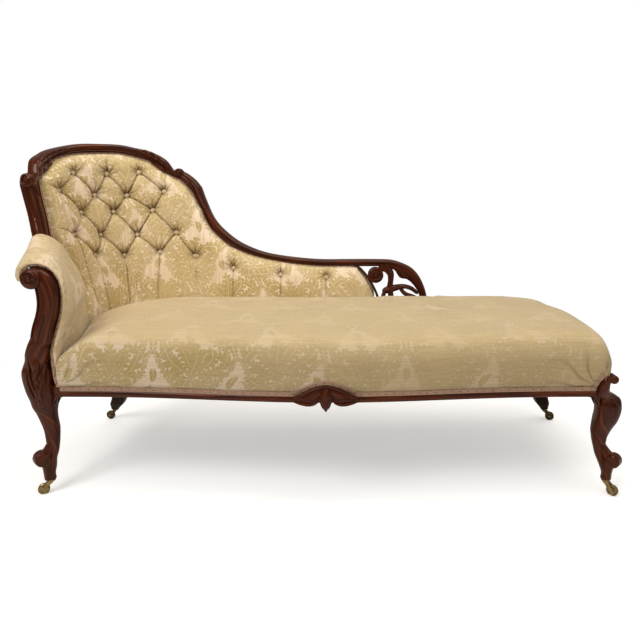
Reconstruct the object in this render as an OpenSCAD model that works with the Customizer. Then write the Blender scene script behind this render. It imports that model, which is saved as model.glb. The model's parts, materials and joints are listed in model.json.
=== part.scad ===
// Fainting couch: a carved mahogany show-wood frame with a raised, buttoned back that
// wraps round the head end, a scroll-over arm, a sprung seat and four brass casters.

/* [Overall] */
// Distance along the couch between the rear casters' pivots
wheelbase = 1640; // [1500:5:1760]
// Distance between the front and rear caster pivots
track = 530; // [490:2:580]
// Height of the underside of the seat rails above the floor
rail_z = 302; // [285:1:330]
// Height of the seat's crown above the floor
seat_z = 488; // [470:1:510]
// Height of the top of the back above the floor
back_z = 1022; // [960:2:1080]
// Length of the back, measured along its own curve
back_run = 1390; // [1300:5:1450]

/* [Seat rails] */
// Height of the seat rails
rail_h = 85; // [75:1:90]
// Thickness of the seat rails
rail_t = 28; // [22:1:32]
// Bow of the front rail at its middle
rail_bow = 44; // [20:1:60]
// Height of the show-wood moulding along the rails
mould_h = 18; // [12:1:24]
// How far the moulding stands proud of the rail
mould_out = 8; // [5:0.5:12]

/* [Back] */
// Size of the rounded corner at the head end
corner_r = 352; // [330:2:370]
// Depth of the show-wood back frame
frame_d = 34; // [30:1:38]
// Depth of the tufted upholstery of the back
pad_d = 59; // [54:1:66]
// Depth that a button draws in
tuft_d = 20; // [10:1:22]
// Diameter of an upholstery button
button_d = 20; // [14:1:24]

/* [Arm] */
// Height of the top of the arm's roll at the front
arm_z = 686; // [660:1:710]
// Width of the arm's front, from the roll to the seat
arm_w = 121; // [110:1:135]

/* [Casters] */
// Diameter of a caster wheel
wheel_d = 32; // [28:1:36]
// Width of a caster wheel
wheel_w = 11; // [8:0.5:13]
// Distance that a wheel trails behind its pivot
trail = 22; // [20:0.5:25]
// Diameter of the axle
axle_d = 5; // [4:0.1:6]
// Diameter of the swivel pin
pin_d = 7; // [6:0.1:8]

/* [Springs and webbing] */
// Number of springs along the seat
spring_count = 6; // [4:1:7]
// Diameter of a spring at its ends
spring_d = 96; // [70:1:110]
// Thickness of the spring wire
wire_d = 4; // [3:0.1:5]
// Width of the jute webbing
web_w = 50; // [40:1:60]

/* [Hidden] */

mahogany = "#5a2414";
beech = "#c8a878";
damask = "#d8c48c";
jute = "#a08860";
linen = "#6b6250";
brass = "#b08d45";
steel = "#80848a";

// Clearance between pieces that sit on each other, and the overrun of a cut
gap = 0.3;
cut = 1;

// Design axes: x = 0 midway between the casters, y = 0 at the front corner of the front feet
set_in = 12;
head_out = 2;
rear_out = -5;
foot_in = 45;
rail_top = rail_z + rail_h;
corner_x = -wheelbase / 2 - head_out + corner_r;
corner_y = track + set_in + rear_out - corner_r;
corner_run_share = 0.4065;
corner_run = back_run * corner_run_share;
foot_x = wheelbase / 2 - foot_in;
rear_y = track + set_in + rear_out;
rail_end_y = -2;

// The back leans outwards, and its corner in plan is squarer at the seat than at the top
lean_share = 0.17;
wall_tilt = atan(lean_share);
square_low = 3.2;
square_high = 2;

function mix(a, b, t) = a + (b - a) * t;
function clamp01(t) = max(0, min(1, t));
function smooth(t) = let (c = clamp01(t)) c * c * (3 - 2 * c);
function lean(z) = max(0, z - rail_top) * lean_share;
function squareness(z) = mix(square_low, square_high, clamp01((z - rail_top) / (back_z - rail_top)));

// Point on the back: u runs from the head end round the corner and along the rear side,
// z is the height, and inset is the distance inwards from the outer face
function wall(u, z, inset) =
  let (n = squareness(z), r = corner_r + lean(z), a = 90 * clamp01(u / corner_run),
    c = cos(a), s = sin(a), nx = pow(c, 2 - 2 / n), ny = pow(s, 2 - 2 / n), m = norm([nx, ny]))
  [corner_x - r * pow(c, 2 / n) + inset * nx / m + max(0, u - corner_run),
   corner_y + r * pow(s, 2 / n) - inset * ny / m + min(0, u), z];
function wall_yaw(u, z) =
  let (n = squareness(z), a = 90 * clamp01(u / corner_run))
  atan2(-pow(sin(a), 2 - 2 / n), pow(cos(a), 2 - 2 / n));
function rise(share) = rail_z + share * (back_z - rail_z);
function share_of(z) = (z - rail_z) / (back_z - rail_z);
function spot(p, inset) = wall(p[0] * back_run, rise(p[1]), inset);
function plan(points) = [for (p = points) [p[0], p[1]]];
function reversed(list) = [for (i = [len(list) - 1:-1:0]) list[i]];

// Closed skin over a list of rings that all have the same number of points; each end is
// closed by a strip of triangles between the first part of its ring and the rest
function before(n, t) = len([for (q = [0:n - 2]) if ((q + 0.5) / (n - 1) < t) q]);
function cap(m, k) = concat(
  [for (i = [0:k - 2]) [i, i + 1, m - 1 - before(m - k, (i + 0.5) / (k - 1) - 0.0001)]],
  [for (j = [0:m - k - 2]) [before(k, (j + 0.5) / (m - k - 1) + 0.0001), m - 2 - j, m - 1 - j]]);
module skin(rings, turned = false, split = 0) {
  n = len(rings);
  m = len(rings[0]);
  ends = cap(m, split > 0 ? split : ceil(m / 2));
  faces = concat(
    [for (i = [0:n - 2], j = [0:m - 1]) let (k = (j + 1) % m)
      each [[i * m + j, (i + 1) * m + j, (i + 1) * m + k], [i * m + j, (i + 1) * m + k, i * m + k]]],
    ends, [for (f = ends) [f[2] + (n - 1) * m, f[1] + (n - 1) * m, f[0] + (n - 1) * m]]);
  polyhedron([for (r = rings) each r], turned ? [for (f = faces) reversed(f)] : faces, convexity = 8);
}

// Columns and rows at which everything on the back is worked out, so that its layers agree
columns_shares = [0.021, 0.026, 0.0285, 0.034, 0.047, 0.058, 0.072, 0.088, 0.104, 0.120, 0.136, 0.152, 0.168,
  0.184, 0.200, 0.216, 0.232, 0.248, 0.264, 0.280, 0.296, 0.312, 0.328, 0.341, 0.355, 0.369, 0.384, 0.397,
    0.415,
  0.437, 0.460, 0.480, 0.505, 0.528, 0.552, 0.575, 0.610, 0.645, 0.680, 0.719, 0.760, 0.799, 0.815];
row_step_share = 0.0833;
nearest_share = 0.0015;
function columns_between(u0, u1) = concat([u0], [for (c = columns_shares)
  if (c * back_run > u0 + nearest_share * back_run && c * back_run < min(u1,
    corner_run) - nearest_share * back_run) c * back_run],
  u0 < corner_run && u1 > corner_run ? [corner_run] : [], [u1]);
function rows_between(z0, z1) = let (n = ceil((z1 - z0) / (row_step_share * back_z))) [for (i = [0:n]) mix(z0, z1, i / n)];
function column_ring(u, rows, in0, in1) = concat([for (z = rows) wall(u, z, in0)],
  [for (z = reversed(rows)) wall(u, z, in1)]);

// Strip of the back between two insets, over the stated stretch and height
module wall_band(u0, u1, z0, z1, in0, in1) {
  rows = rows_between(z0, z1);
  skin([for (u = columns_between(u0, u1)) column_ring(u, rows, in0, in1)]);
}

// Stroke of varying width along a line of points on the back, each [run, height, width]
function stroke_edge(p, i, side) =
  let (a = p[max(0, i - 1)], b = p[min(len(p) - 1, i + 1)], d = [b[0] - a[0],
    b[1] - a[1]] / norm([b[0] - a[0], b[1] - a[1]]))
  [p[i][0] - side * d[1] * p[i][2] / 2, p[i][1] + side * d[0] * p[i][2] / 2];
module wall_stroke(shares, in0, in1) {
  p = [for (q = shares) [q[0] * back_run, rise(q[1]), q[2] * frame_d]];
  skin([for (i = [0:len(p) - 1]) let (a = stroke_edge(p, i, 1), b = stroke_edge(p, i, -1))
    [wall(a[0], a[1], in0), wall(b[0], b[1], in0), wall(b[0], b[1], in1), wall(a[0], a[1], in1)]], true);
}

// Front rail: serpentine in plan, of one thickness
front_steps = 24;
front_corner_in = 70.5;
front_end = wheelbase / 2 - front_corner_in;
bow_power = 1.3;
function bow(x) = rail_bow * pow(0.5 + 0.5 * cos(180 * clamp01(abs(x) / front_end)), bow_power);
function front_y(x) = rail_end_y - bow(x);
function front_line(out, x0 = -front_end, x1 = front_end) =
  [for (i = [0:front_steps]) let (x = mix(x0, x1, i / front_steps)) [x, front_y(x) - out]];
module front_seat_rail() {
  color(mahogany) {
    translate([0, 0, rail_z]) linear_extrude(rail_h)
      polygon(concat(front_line(0), reversed(front_line(-rail_t))));
    translate([0, 0, rail_z]) linear_extrude(mould_h)
      polygon(concat(front_line(mould_out), reversed(front_line(-cut))));
  }
}

// Rails that follow the back's outline in plan
function wall_line(u0, u1, inset) = plan([for (u = columns_between(u0, u1)) wall(u, rail_z, inset)]);
module wall_rail(u0, u1, in0, in1) {
  polygon(concat(wall_line(u0, u1, in0), reversed(wall_line(u0, u1, in1))));
}
block_from_share = 0.18;
block_to_share = 0.237;
leg_back = 71;
leg_block = [40, 48];
rear_block_x = foot_x - leg_block[0];
rear_block_y = rear_y - leg_block[1];
module head_end_rail() {
  color(beech) translate([0, 0, rail_z]) linear_extrude(rail_h)
    wall_rail(leg_back + gap - corner_y, block_from_share * back_run - gap, 0, rail_t);
}
module rear_seat_rail() {
  color(beech) translate([0, 0, rail_z]) linear_extrude(rail_h)
    wall_rail(block_to_share * back_run + gap, rear_block_x - gap - corner_x + corner_run, 0, rail_t);
}
foot_leg_back = 46;
module foot_end_rail() {
  color(mahogany) {
    translate([foot_x - rail_t, foot_leg_back + gap, rail_z])
      cube([rail_t, rear_block_y - foot_leg_back - 2 * gap, rail_h]);
    translate([foot_x - rail_t, foot_leg_back + gap, rail_z])
      cube([rail_t + mould_out, rear_block_y - foot_leg_back - 2 * gap, mould_h]);
  }
}
stretcher_w = 46;
stretcher_h = 30;
stretcher_up = 6;
stretcher_z = rail_z + stretcher_up;
module cross_stretcher() {
  from_y = front_y(stretcher_w / 2) + rail_t + gap;
  color(beech) translate([-stretcher_w / 2, from_y, stretcher_z])
    cube([stretcher_w, rear_y - rail_t - gap - from_y, stretcher_h]);
}
block_leg = 52;
block_up = 30;
block_z = rail_z + block_up;
block_h = 46;
rear_block_run_share = 0.04;
module corner_blocks() {
  color(beech) translate([0, 0, block_z]) linear_extrude(block_h) {
    for (side = [-1, 1]) {
      x = side > 0 ? foot_x - rail_t - gap : gap - front_end;
      y = front_y(front_end - block_leg) + rail_t + gap;
      polygon([[x, y + gap], [x - side * block_leg, y + gap], [x, y + block_leg]]);
    }
    polygon([[rear_block_x - gap, rear_y - rail_t - gap], [rear_block_x - gap - block_leg,
      rear_y - rail_t - gap],
      [rear_block_x - gap, rear_y - rail_t - gap - block_leg]]);
    wall_rail((block_to_share + 0.002) * back_run, (block_to_share + rear_block_run_share) * back_run,
      rail_t + gap, rail_t + block_leg / 2);
  }
}

// Turned-out corner section shared by the legs: a square with well rounded corners
leg_sides = 16;
leg_square = 3.2;
function squircle(i, power) =
  let (a = 360 * (i + 0.5) / leg_sides, c = cos(a), s = sin(a))
  [sign(c) * pow(abs(c), 2 / power), sign(s) * pow(abs(s), 2 / power)];

// Legs are drawn as stations: height as a share of the rail's, then the middle and the half
// width as shares of leg_w, measured inwards along both sides from the foot's outer corner
leg_w = 92;
plate_t = 2.5;
foot_z = 44.5;
leg_rise = rail_z - foot_z;
function leg_z(share) = foot_z + share * leg_rise;
function leg_ring(x0, x1, y0, y1, z) = [for (i = [0:leg_sides - 1]) let (q = squircle(i, leg_square))
  [(x0 + x1) / 2 + q[0] * (x1 - x0) / 2, (y0 + y1) / 2 + q[1] * (y1 - y0) / 2, z]];
function corner_ring(s, x, side) = let (m = x + side * s[1] * leg_w, w = s[2] * leg_w)
  leg_ring(m - w, m + w, s[1] * leg_w - w, s[1] * leg_w + w, leg_z(s[0]));

head_leg_shares = [
  [0.000, 0.130, 0.138], [0.068, 0.134, 0.127], [0.130, 0.158, 0.136], [0.184, 0.163, 0.150], [0.235,
    0.175, 0.150],
  [0.313, 0.220, 0.160], [0.390, 0.242, 0.172], [0.449, 0.250, 0.184], [0.585, 0.268, 0.196], [0.720,
    0.246, 0.204],
  [0.798, 0.220, 0.240], [0.872, 0.190, 0.310], [0.953, 0.173, 0.359], [1.043, 0.152, 0.399], [1.128,
    0.138, 0.401],
  [1.210, 0.128, 0.395], [1.283, 0.112, 0.370], [1.340, 0.098, 0.320]];
// Height, outer, inner, front, back where the leg turns into the arm's facing
neck_shares = [[1.42, -0.18, 0.50, -0.27, 0.26], [1.50, -0.13, 0.53, -0.30, 0.16], [1.60, -0.02, 0.60,
  -0.31, 0.13]];
// Scroll above it: outer edge and inner edge, as shares of leg_w out from the pivot and of
// the arm's height
facing_shares = [
  [0.09, 0.695, 0.68, 0.67], [0.20, 0.742, 0.80, 0.735], [0.34, 0.79, 0.94, 0.785],
  [0.41, 0.828, 1.01, 0.83], [0.415, 0.86, 1.025, 0.875], [0.38, 0.888, 0.98, 0.917],
  [0.33, 0.902, 0.83, 0.950], [0.26, 0.918, 0.57, 0.970], [0.22, 0.925, 0.32, 0.974]];
facing_front = -28;
facing_back = 12;
volute_r = 27.5;
volute_at = [0.33, 0.933];
volute_out = 5;
toe_r = 22.5;
toe_at = [-0.02, 0.285];
foot_toe_at = [0.03, 0.274];
toe_turn = 45;
toe_w = 32;
round_edge = 6;
// Height above the rail's underside, reach along the rail, front and back of the leg's ear
ear_shares = [[0, 0.76, -0.15, 0.28], [0.45, 0.76, -0.15, 0.28], [0.72, 0.73, -0.13, 0.26], [0.83, 0.68,
  -0.11, 0.24]];

// Disc with rounded rims, along the y axis
module rounded_disc(r, w, edge) {
  rotate([90, 0, 0]) translate([0, 0, -w / 2]) rotate_extrude($fn = 32)
    polygon(concat([[0, 0]], [for (i = [0:3]) [r - edge + edge * sin(30 * i), edge - edge * cos(30 * i)]],
      [for (i = [3:-1:0]) [r - edge + edge * sin(30 * i), w - edge + edge * cos(30 * i)]], [[0, w]]));
}

stem_d = 8;
stem_h = 26;
module stem_hole(at) {
  translate([at[0], at[1], foot_z - cut]) cylinder(d = stem_d + 2 * gap, h = stem_h + gap + cut, $fn = 24);
}
head_pivot = [-wheelbase / 2 + set_in, set_in];
foot_pivot = [wheelbase / 2 - set_in, set_in];
head_rear_pivot = [-wheelbase / 2, track + set_in];
foot_rear_pivot = [wheelbase / 2, track + set_in];
head_x = -wheelbase / 2;
end_x = wheelbase / 2;

module toe(x, side, at) {
  translate([x + side * at[0] * leg_w, at[0] * leg_w, leg_z(at[1])]) rotate([0, 0, -side * toe_turn])
    rounded_disc(toe_r, toe_w, round_edge);
}
module head_leg() {
  neck_rings = [for (s = neck_shares)
    leg_ring(head_x + s[1] * leg_w, head_x + s[2] * leg_w, s[3] * leg_w, s[4] * leg_w, leg_z(s[0]))];
  facing_rings = [for (s = facing_shares) [for (i = [0:leg_sides - 1])
    let (q = squircle(i, leg_square), t = 0.5 + q[0] / 2)
    [head_x + leg_w * mix(s[0], s[2], t), mix(facing_front, facing_back, 0.5 + q[1] / 2), arm_z * mix(s[1],
      s[3], t)]]];
  color(mahogany) difference() {
    union() {
      skin(concat([for (s = head_leg_shares) corner_ring(s, head_x, 1)], neck_rings, facing_rings));
      translate([head_x + volute_at[0] * leg_w, (facing_front + facing_back - volute_out) / 2,
        volute_at[1] * arm_z]) rounded_disc(volute_r, facing_back - facing_front + volute_out, round_edge);
      toe(head_x, 1, toe_at);
      skin([for (e = ear_shares) leg_ring(head_x, head_x + e[1] * leg_w, e[2] * leg_w, e[3] * leg_w,
        rail_z + e[0] * rail_h)]);
      translate([head_x + round_edge, 0, rail_z]) cube([rail_t - 2 * round_edge, leg_back, rail_h]);
    }
    stem_hole(head_pivot);
  }
}

foot_leg_shares = [
  [0, 0.130, 0.138], [0.068, 0.134, 0.127], [0.130, 0.163, 0.147], [0.184, 0.201, 0.160], [0.235, 0.250, 0.165],
  [0.2816, 0.288, 0.168], [0.3437, 0.323, 0.170], [0.410, 0.358, 0.178], [0.487, 0.389, 0.184], [0.5456,
    0.400, 0.197],
  [0.592, 0.392, 0.207], [0.693, 0.327, 0.268], [0.798, 0.250, 0.325], [0.883, 0.235, 0.352], [0.957,
    0.250, 0.338]];
// Height, outer, inner, front, back of the small scroll that laps the end of the rails
scroll_end_shares = [[1.008, 0.10, 0.765, -0.10, 0.49], [1.06, 0.34, 0.765, -0.08, 0.49], [1.12, 0.38,
  0.765, -0.10, 0.49],
  [1.17, 0.38, 0.74, -0.11, 0.48], [1.21, 0.30, 0.70, -0.12, 0.44], [1.25, 0.32, 0.64, -0.10, 0.36]];
module foot_leg() {
  color(mahogany) difference() {
    union() {
      skin(concat([for (s = foot_leg_shares) corner_ring(s, end_x, -1)], [for (s = scroll_end_shares)
        leg_ring(end_x - s[2] * leg_w, end_x - s[1] * leg_w, s[3] * leg_w, s[4] * leg_w, leg_z(s[0]))]));
      toe(end_x, -1, foot_toe_at);
    }
    stem_hole(foot_pivot);
  }
}

// Rear legs: square in section, swept out to the caster below a block between the rails
rear_foot = 34;
rear_ankle = 27;
rear_top = 44;
sweep_power = 1.6;
function rear_rings(top, pivot) = [for (i = [0:7]) let (t = i / 7, k = pow(1 - t, sweep_power),
    w = t < 0.15 ? mix(rear_foot, rear_ankle, t / 0.15) : mix(rear_ankle, rear_top, (t - 0.15) / 0.85))
  leg_ring(mix(top[0], pivot[0], k) - w / 2, mix(top[0], pivot[0], k) + w / 2,
    mix(top[1], pivot[1], k) - w / 2, mix(top[1], pivot[1], k) + w / 2, foot_z + t * (rail_z - foot_z))];
block_middle = wall((block_from_share + block_to_share) / 2 * back_run, rail_z, rear_top / 2 + gap);
module rear_head_leg() {
  color(mahogany) difference() {
    union() {
      skin(rear_rings(block_middle, head_rear_pivot));
      translate([0, 0, rail_z - cut]) linear_extrude(rail_h + cut)
        wall_rail(block_from_share * back_run, block_to_share * back_run, 0, rear_top);
    }
    stem_hole(head_rear_pivot);
  }
}
module rear_foot_leg() {
  color(mahogany) difference() {
    union() {
      skin(rear_rings([rear_block_x + leg_block[0] / 2, rear_block_y + leg_block[1] / 2], foot_rear_pivot));
      translate([rear_block_x, rear_block_y, rail_z - cut]) cube([leg_block[0], leg_block[1], rail_h + cut]);
    }
    stem_hole(foot_rear_pivot);
  }
}

// Carved ornament at the middle of the front rail, drawn as shares of its half width and height
carving_w = 76;
carving_h = 56;
carving_at = -6;
carving_shares = [[-1, 0.34], [-0.70, 0.50], [-0.38, 0.76], [0, 0.98], [0.38, 0.76], [0.70, 0.50], [1, 0.34],
  [0.84, 0.22], [0.64, -0.02], [0.46, -0.03], [0.30, 0.06], [0.20, 0.12], [0.12, -0.16], [0, -0.34],
  [-0.12, -0.16], [-0.20, 0.12], [-0.30, 0.06], [-0.46, -0.03], [-0.64, -0.02], [-0.84, 0.22]];
carving_y = rail_end_y - rail_bow - mould_out;
module carving_outline() {
  polygon([for (p = carving_shares) [p[0] * carving_w, p[1] * carving_h]]);
}
module apron_carving() {
  color(mahogany) translate([carving_at, carving_y - gap, rail_z]) rotate([90, 0, 0])
    linear_extrude(carving_out) carving_outline();
}

// Show-wood of the back. Each station is [outer u, outer z, inner u, inner z] as shares of
// the back's run and of its height above the seat rails' underside
foot_share = share_of(rail_top + gap);
stile_shares = [
  [-0.004, foot_share, 0.012, foot_share], [-0.004, 0.28, 0.015, 0.28], [-0.004, 0.45, 0.019, 0.45],
  [-0.004, 0.607, 0.021, 0.599], [0.000, 0.668, 0.026, 0.683], [0.000, 0.729, 0.028, 0.747],
  [0.000, 0.778, 0.031, 0.79], [0.001, 0.818, 0.034, 0.82], [0.010, 0.850, 0.041, 0.84],
  [0.028, 0.860, 0.047, 0.853]];
crest_shares = [
  [0.028, 0.860, 0.047, 0.853], [0.041, 0.910, 0.056, 0.872], [0.066, 0.940, 0.071, 0.897],
  [0.088, 0.960, 0.100, 0.925], [0.127, 0.982, 0.132, 0.943], [0.161, 0.996, 0.165, 0.950],
  [0.199, 1.000, 0.199, 0.954], [0.240, 1.000, 0.237, 0.954], [0.271, 0.988, 0.271, 0.939],
  [0.304, 0.971, 0.304, 0.915], [0.337, 0.932, 0.328, 0.878], [0.355, 0.881, 0.341, 0.860]];
sweep_shares = [
  [0.355, 0.881, 0.341, 0.860], [0.371, 0.878, 0.355, 0.843], [0.386, 0.858, 0.368, 0.830],
  [0.401, 0.822, 0.384, 0.801], [0.417, 0.743, 0.397, 0.745], [0.438, 0.651, 0.415, 0.644],
  [0.460, 0.596, 0.437, 0.576], [0.501, 0.531, 0.480, 0.505], [0.544, 0.490, 0.528, 0.465],
  [0.586, 0.465, 0.575, 0.440], [0.650, 0.446, 0.645, 0.416], [0.719, 0.435, 0.719, 0.403],
  [0.799, 0.435, 0.799, 0.402], [0.865, 0.435, 0.862, 0.402], [0.907, 0.432, 0.892, 0.401],
  [0.934, 0.418, 0.915, 0.383], [0.961, 0.393, 0.930, 0.345], [0.978, 0.360, 0.950, 0.335],
  [0.991, 0.315, 0.969, 0.300], [1.000, 0.261, 0.982, 0.255], [1.004, 0.200, 0.986, 0.200],
  [1.004, foot_share, 0.986, foot_share]];
// Section across the show-wood, from the outer edge to the inner: place and depth
section_shares = [[0, 0], [0, 0.60], [0.10, 0.86], [0.30, 1], [0.55, 0.99], [0.76, 0.90], [0.79, 0.68], [1,
  0.68], [1, 0]];
function halved(list) = [for (i = [0:2 * (len(list) - 1)]) mix(list[floor(i / 2)], list[ceil(i / 2)], 0.5)];
function member_ring(s) = [for (q = section_shares)
  mix(spot([s[0], s[1]], q[1] * frame_d), spot([s[2], s[3]], q[1] * frame_d), q[0])];
module member(shares) {
  color(mahogany) skin([for (s = halved(shares)) member_ring(s)]);
}
module head_stile() {
  member(stile_shares);
}
module crest_rail() {
  member(crest_shares);
}
module sweep_rail() {
  member(sweep_shares);
}

// Post and pierced bracket under the end of the back: strokes as [run, height, width] shares
post_shares = [[0.8235, 0.3965, 0.20], [0.832, 0.378, 0.24], [0.846, 0.345, 0.26], [0.860, 0.300, 0.26],
  [0.871, 0.250, 0.28], [0.876, 0.190, 0.30], [0.877, foot_share, 0.34]];
post_in = 3;
post_out = 31;
module end_post() {
  color(mahogany) wall_stroke(post_shares, post_in, post_out);
}
scroll_shares = [[0.874, 0.400, 0.60], [0.893, 0.394, 0.56], [0.905, 0.366, 0.44], [0.906, 0.330, 0.34],
  [0.904, 0.298, 0.36], [0.908, 0.240, 0.34], [0.916, 0.180, 0.36], [0.922, foot_share, 0.50]];
leaf_shares = [[0.884, 0.274, 0.30], [0.900, 0.284, 0.52], [0.920, 0.294, 0.44], [0.942, 0.300, 0.32],
  [0.962, 0.288, 0.30], [0.9775, 0.264, 0.24]];
stem_shares = [[0.892, 0.285, 0.26], [0.885, 0.240, 0.28], [0.886, 0.180, 0.30], [0.892, foot_share, 0.40]];
curl_shares = [[0.930, 0.292, 0.26], [0.945, 0.262, 0.28], [0.966, 0.248, 0.26], [0.983, 0.232, 0.22]];
fret_volute = [0.866, 0.358];
fret_volute_r = 24;
fret_in = 6;
fret_out = 29;
fret_step = 1;
// What the bracket is trimmed against: the sweep rail's inner edge, moved inwards by the gap
module sweep_room() {
  skin([for (s = halved(sweep_shares)) let (d = [s[0] - s[2], s[1] - s[3]] * (gap / frame_d))
    [for (q = [[s[0], s[1], -frame_d], [s[2] - d[0], s[3] - d[1], -frame_d], [s[2] - d[0], s[3] - d[1],
      2 * frame_d],
      [s[0], s[1], 2 * frame_d]]) spot([q[0], q[1]], q[2])]], true);
}
module pierced_bracket() {
  u = fret_volute[0] * back_run;
  z = rise(fret_volute[1]);
  color(mahogany) difference() {
    union() {
      wall_stroke(scroll_shares, fret_in, fret_out);
      wall_stroke(leaf_shares, fret_in - fret_step, fret_out - fret_step);
      wall_stroke(stem_shares, fret_in + fret_step, fret_out - 2 * fret_step);
      wall_stroke(curl_shares, fret_in - 2 * fret_step, fret_out - 3 * fret_step);
      skin([for (d = [fret_in + fret_step / 2, fret_out + fret_step]) [for (i = [0:19])
        wall(u + fret_volute_r * cos(18 * i), z + fret_volute_r * sin(18 * i), d)]]);
    }
    sweep_room();
    translate([0, corner_y, 0]) cube([wheelbase, 2 * corner_r, rail_top + gap]);
  }
}

// Gimp that hides the tacks: along the back's show-wood, in its rebate
gimp_t = 2;
trim_shares = [0.81, 0.995];
trim_end_shares = [0.808, 0.435, 0.808, 0.402];
trim_from = 2;
trim_to = 12;
trim_start_share = 0.03;
function trimmed(list, from, to, last = []) = concat([mix(list[from], list[from + 1], trim_start_share)],
  [for (i = [from + 1:to]) list[i]], last);
module gimp_length(stations) {
  low = section_shares[7][1] * frame_d + gap;
  skin([for (s = halved(stations)) [for (q = [[0, low], [0, low + gimp_t], [1, low + gimp_t], [1, low]])
    mix(spot([s[0], s[1]], q[1]), spot([s[2], s[3]], q[1]), trim_shares[q[0]])]]);
}
module back_gimp() {
  color(jute) {
    gimp_length(trimmed(stile_shares, trim_from, len(stile_shares) - 1));
    gimp_length(trimmed(crest_shares, 0, len(crest_shares) - 1));
    gimp_length(trimmed(sweep_shares, 0, trim_to, [trim_end_shares]));
  }
}

// Outer and inner edge of the show-wood as height over the back's run
outer_top_shares = [[-0.004, 0.607], [0.001, 0.818], [0.010, 0.850], [0.028, 0.860], [0.041, 0.910],
  [0.066, 0.940],
  [0.088, 0.960], [0.127, 0.982], [0.161, 0.996], [0.199, 1.0], [0.240, 1.0], [0.271, 0.988], [0.304, 0.971],
  [0.337, 0.932], [0.355, 0.881], [0.371, 0.878], [0.386, 0.858], [0.401, 0.822], [0.417, 0.743], [0.438,
    0.651],
  [0.460, 0.596], [0.501, 0.531], [0.544, 0.490], [0.586, 0.465], [0.650, 0.446], [0.719, 0.435], [0.865,
    0.435], [0.867, 0.127], [1.0, 0.127]];
inner_top_shares = [[0.021, 0.599], [0.026, 0.683], [0.028, 0.747], [0.034, 0.820], [0.041, 0.840], [0.047,
  0.853],
  [0.056, 0.872], [0.071, 0.897], [0.100, 0.925], [0.132, 0.943], [0.165, 0.950], [0.199, 0.954], [0.237,
    0.954],
  [0.271, 0.939], [0.304, 0.915], [0.328, 0.878], [0.341, 0.860], [0.355, 0.843], [0.368, 0.830], [0.384,
    0.801],
  [0.397, 0.745], [0.415, 0.644], [0.437, 0.576], [0.480, 0.505], [0.528, 0.465], [0.575, 0.440], [0.645,
    0.416],
  [0.719, 0.403], [0.799, 0.402], [0.822, 0.395]];
// Seam with the arm on the left and the end post on the right, as run over height
seam_shares = [[0.10, 0.024], [0.18, 0.027], [0.237, 0.030], [0.294, 0.036], [0.347, 0.050], [0.418, 0.046],
  [0.504, 0.031], [0.567, 0.022], [0.599, 0.021]];
post_line_shares = [[0.10, 0.866], [0.190, 0.866], [0.250, 0.861], [0.300, 0.850], [0.345, 0.836], [0.378,
  0.822],
  [0.399, 0.815]];
pad_left = 0.021;
pad_right = 0.815;
left_reach = 0.12;
right_reach = 0.12;
function pad_u(a, z) = a
  + (lookup(z, seam_shares) - pad_left) * clamp01(1 - (a - pad_left) / left_reach) * (z > 0.599 ? 0 : 1)
  + (lookup(z, post_line_shares) - pad_right) * clamp01((a - pad_right) / right_reach + 1);

edge_gap = 0.0012;
web_clear = 5;
layer_gap = 0.7;
function top_of(a) = lookup(a, inner_top_shares) - edge_gap;
module uprights_at(a, z0, z1) {
  wall_band(a * back_run - upright_w / 2, a * back_run + upright_w / 2, z0, z1, board_in, board_in + board_t);
}
upright_w = 44;
board_in = 2;
board_t = 16;
upright_shares = [0.12, 0.225, 0.33, 0.46, 0.62, 0.78];
tack_z = 440;
tack_h = 36;
tack_from_share = 0.03;
tack_to_share = 0.84;
module back_uprights() {
  color(beech) for (a = upright_shares) {
    uprights_at(a, rail_top + gap, tack_z - gap);
    uprights_at(a, tack_z + tack_h + gap, rise(min(top_of(a), top_of(a - 0.016), top_of(a + 0.016))) - gap);
  }
}
module back_tacking_rail() {
  color(beech) wall_band(tack_from_share * back_run, tack_to_share * back_run, tack_z, tack_z + tack_h,
    board_in, board_in + board_t);
}
web_t = 1.4;
web_in = board_in + board_t + layer_gap;
web_rows_shares = [0.50, 0.68, 0.84];
web_columns_shares = [0.085, 0.15, 0.19, 0.26, 0.295, 0.365, 0.415, 0.50, 0.56, 0.68, 0.73];
row_from_share = 0.06;
function row_to(z) = z > 0.80 ? 0.318 : (z > 0.66 ? 0.39 : 0.45);
module back_webbing() {
  color(jute) {
    for (a = web_columns_shares)
      wall_band(a * back_run - web_w / 2, a * back_run + web_w / 2, tack_z + gap,
        rise(min(top_of(a - 0.02), top_of(a), top_of(a + 0.02))) - web_clear, web_in, web_in + web_t);
    for (z = web_rows_shares)
      wall_band(row_from_share * back_run, row_to(z) * back_run, rise(z) - web_w / 2, rise(z) + web_w / 2,
        web_in + web_t + layer_gap, web_in + 2 * web_t + layer_gap);
  }
}

// Rows of the upholstery of the back, from its foot to its top
pad_rows_shares = [0, 0.10, 0.19, 0.27, 0.35, 0.43, 0.51, 0.59, 0.67, 0.75, 0.83, 0.90, 0.96, 1];
pad_behind_shares = [0, 0.2, 0.4, 0.6, 0.8, 1];
pad_foot_share = 0.165;
hessian_t = 1;
hessian_in = web_in + 2 * web_t + 2 * layer_gap;
pad_in = hessian_in + hessian_t + layer_gap;
button_shares = [[0.119, 0.863], [0.203, 0.860], [0.279, 0.868], [0.066, 0.787], [0.165, 0.762], [0.250, 0.758],
  [0.339, 0.776], [0.116, 0.686], [0.212, 0.682], [0.315, 0.685], [0.074, 0.590], [0.163, 0.576], [0.276,
    0.567],
  [0.371, 0.574], [0.132, 0.487], [0.234, 0.471], [0.337, 0.478], [0.404, 0.457], [0.494, 0.396], [0.617,
    0.364],
  [0.736, 0.351]];
pad_round = 62;
tuft_reach = 34;
function tuft(u, z) = max([for (b = button_shares)
  exp(-(pow(u - b[0] * back_run, 2) + pow(z - rise(b[1]), 2)) / pow(tuft_reach, 2))]);
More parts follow.
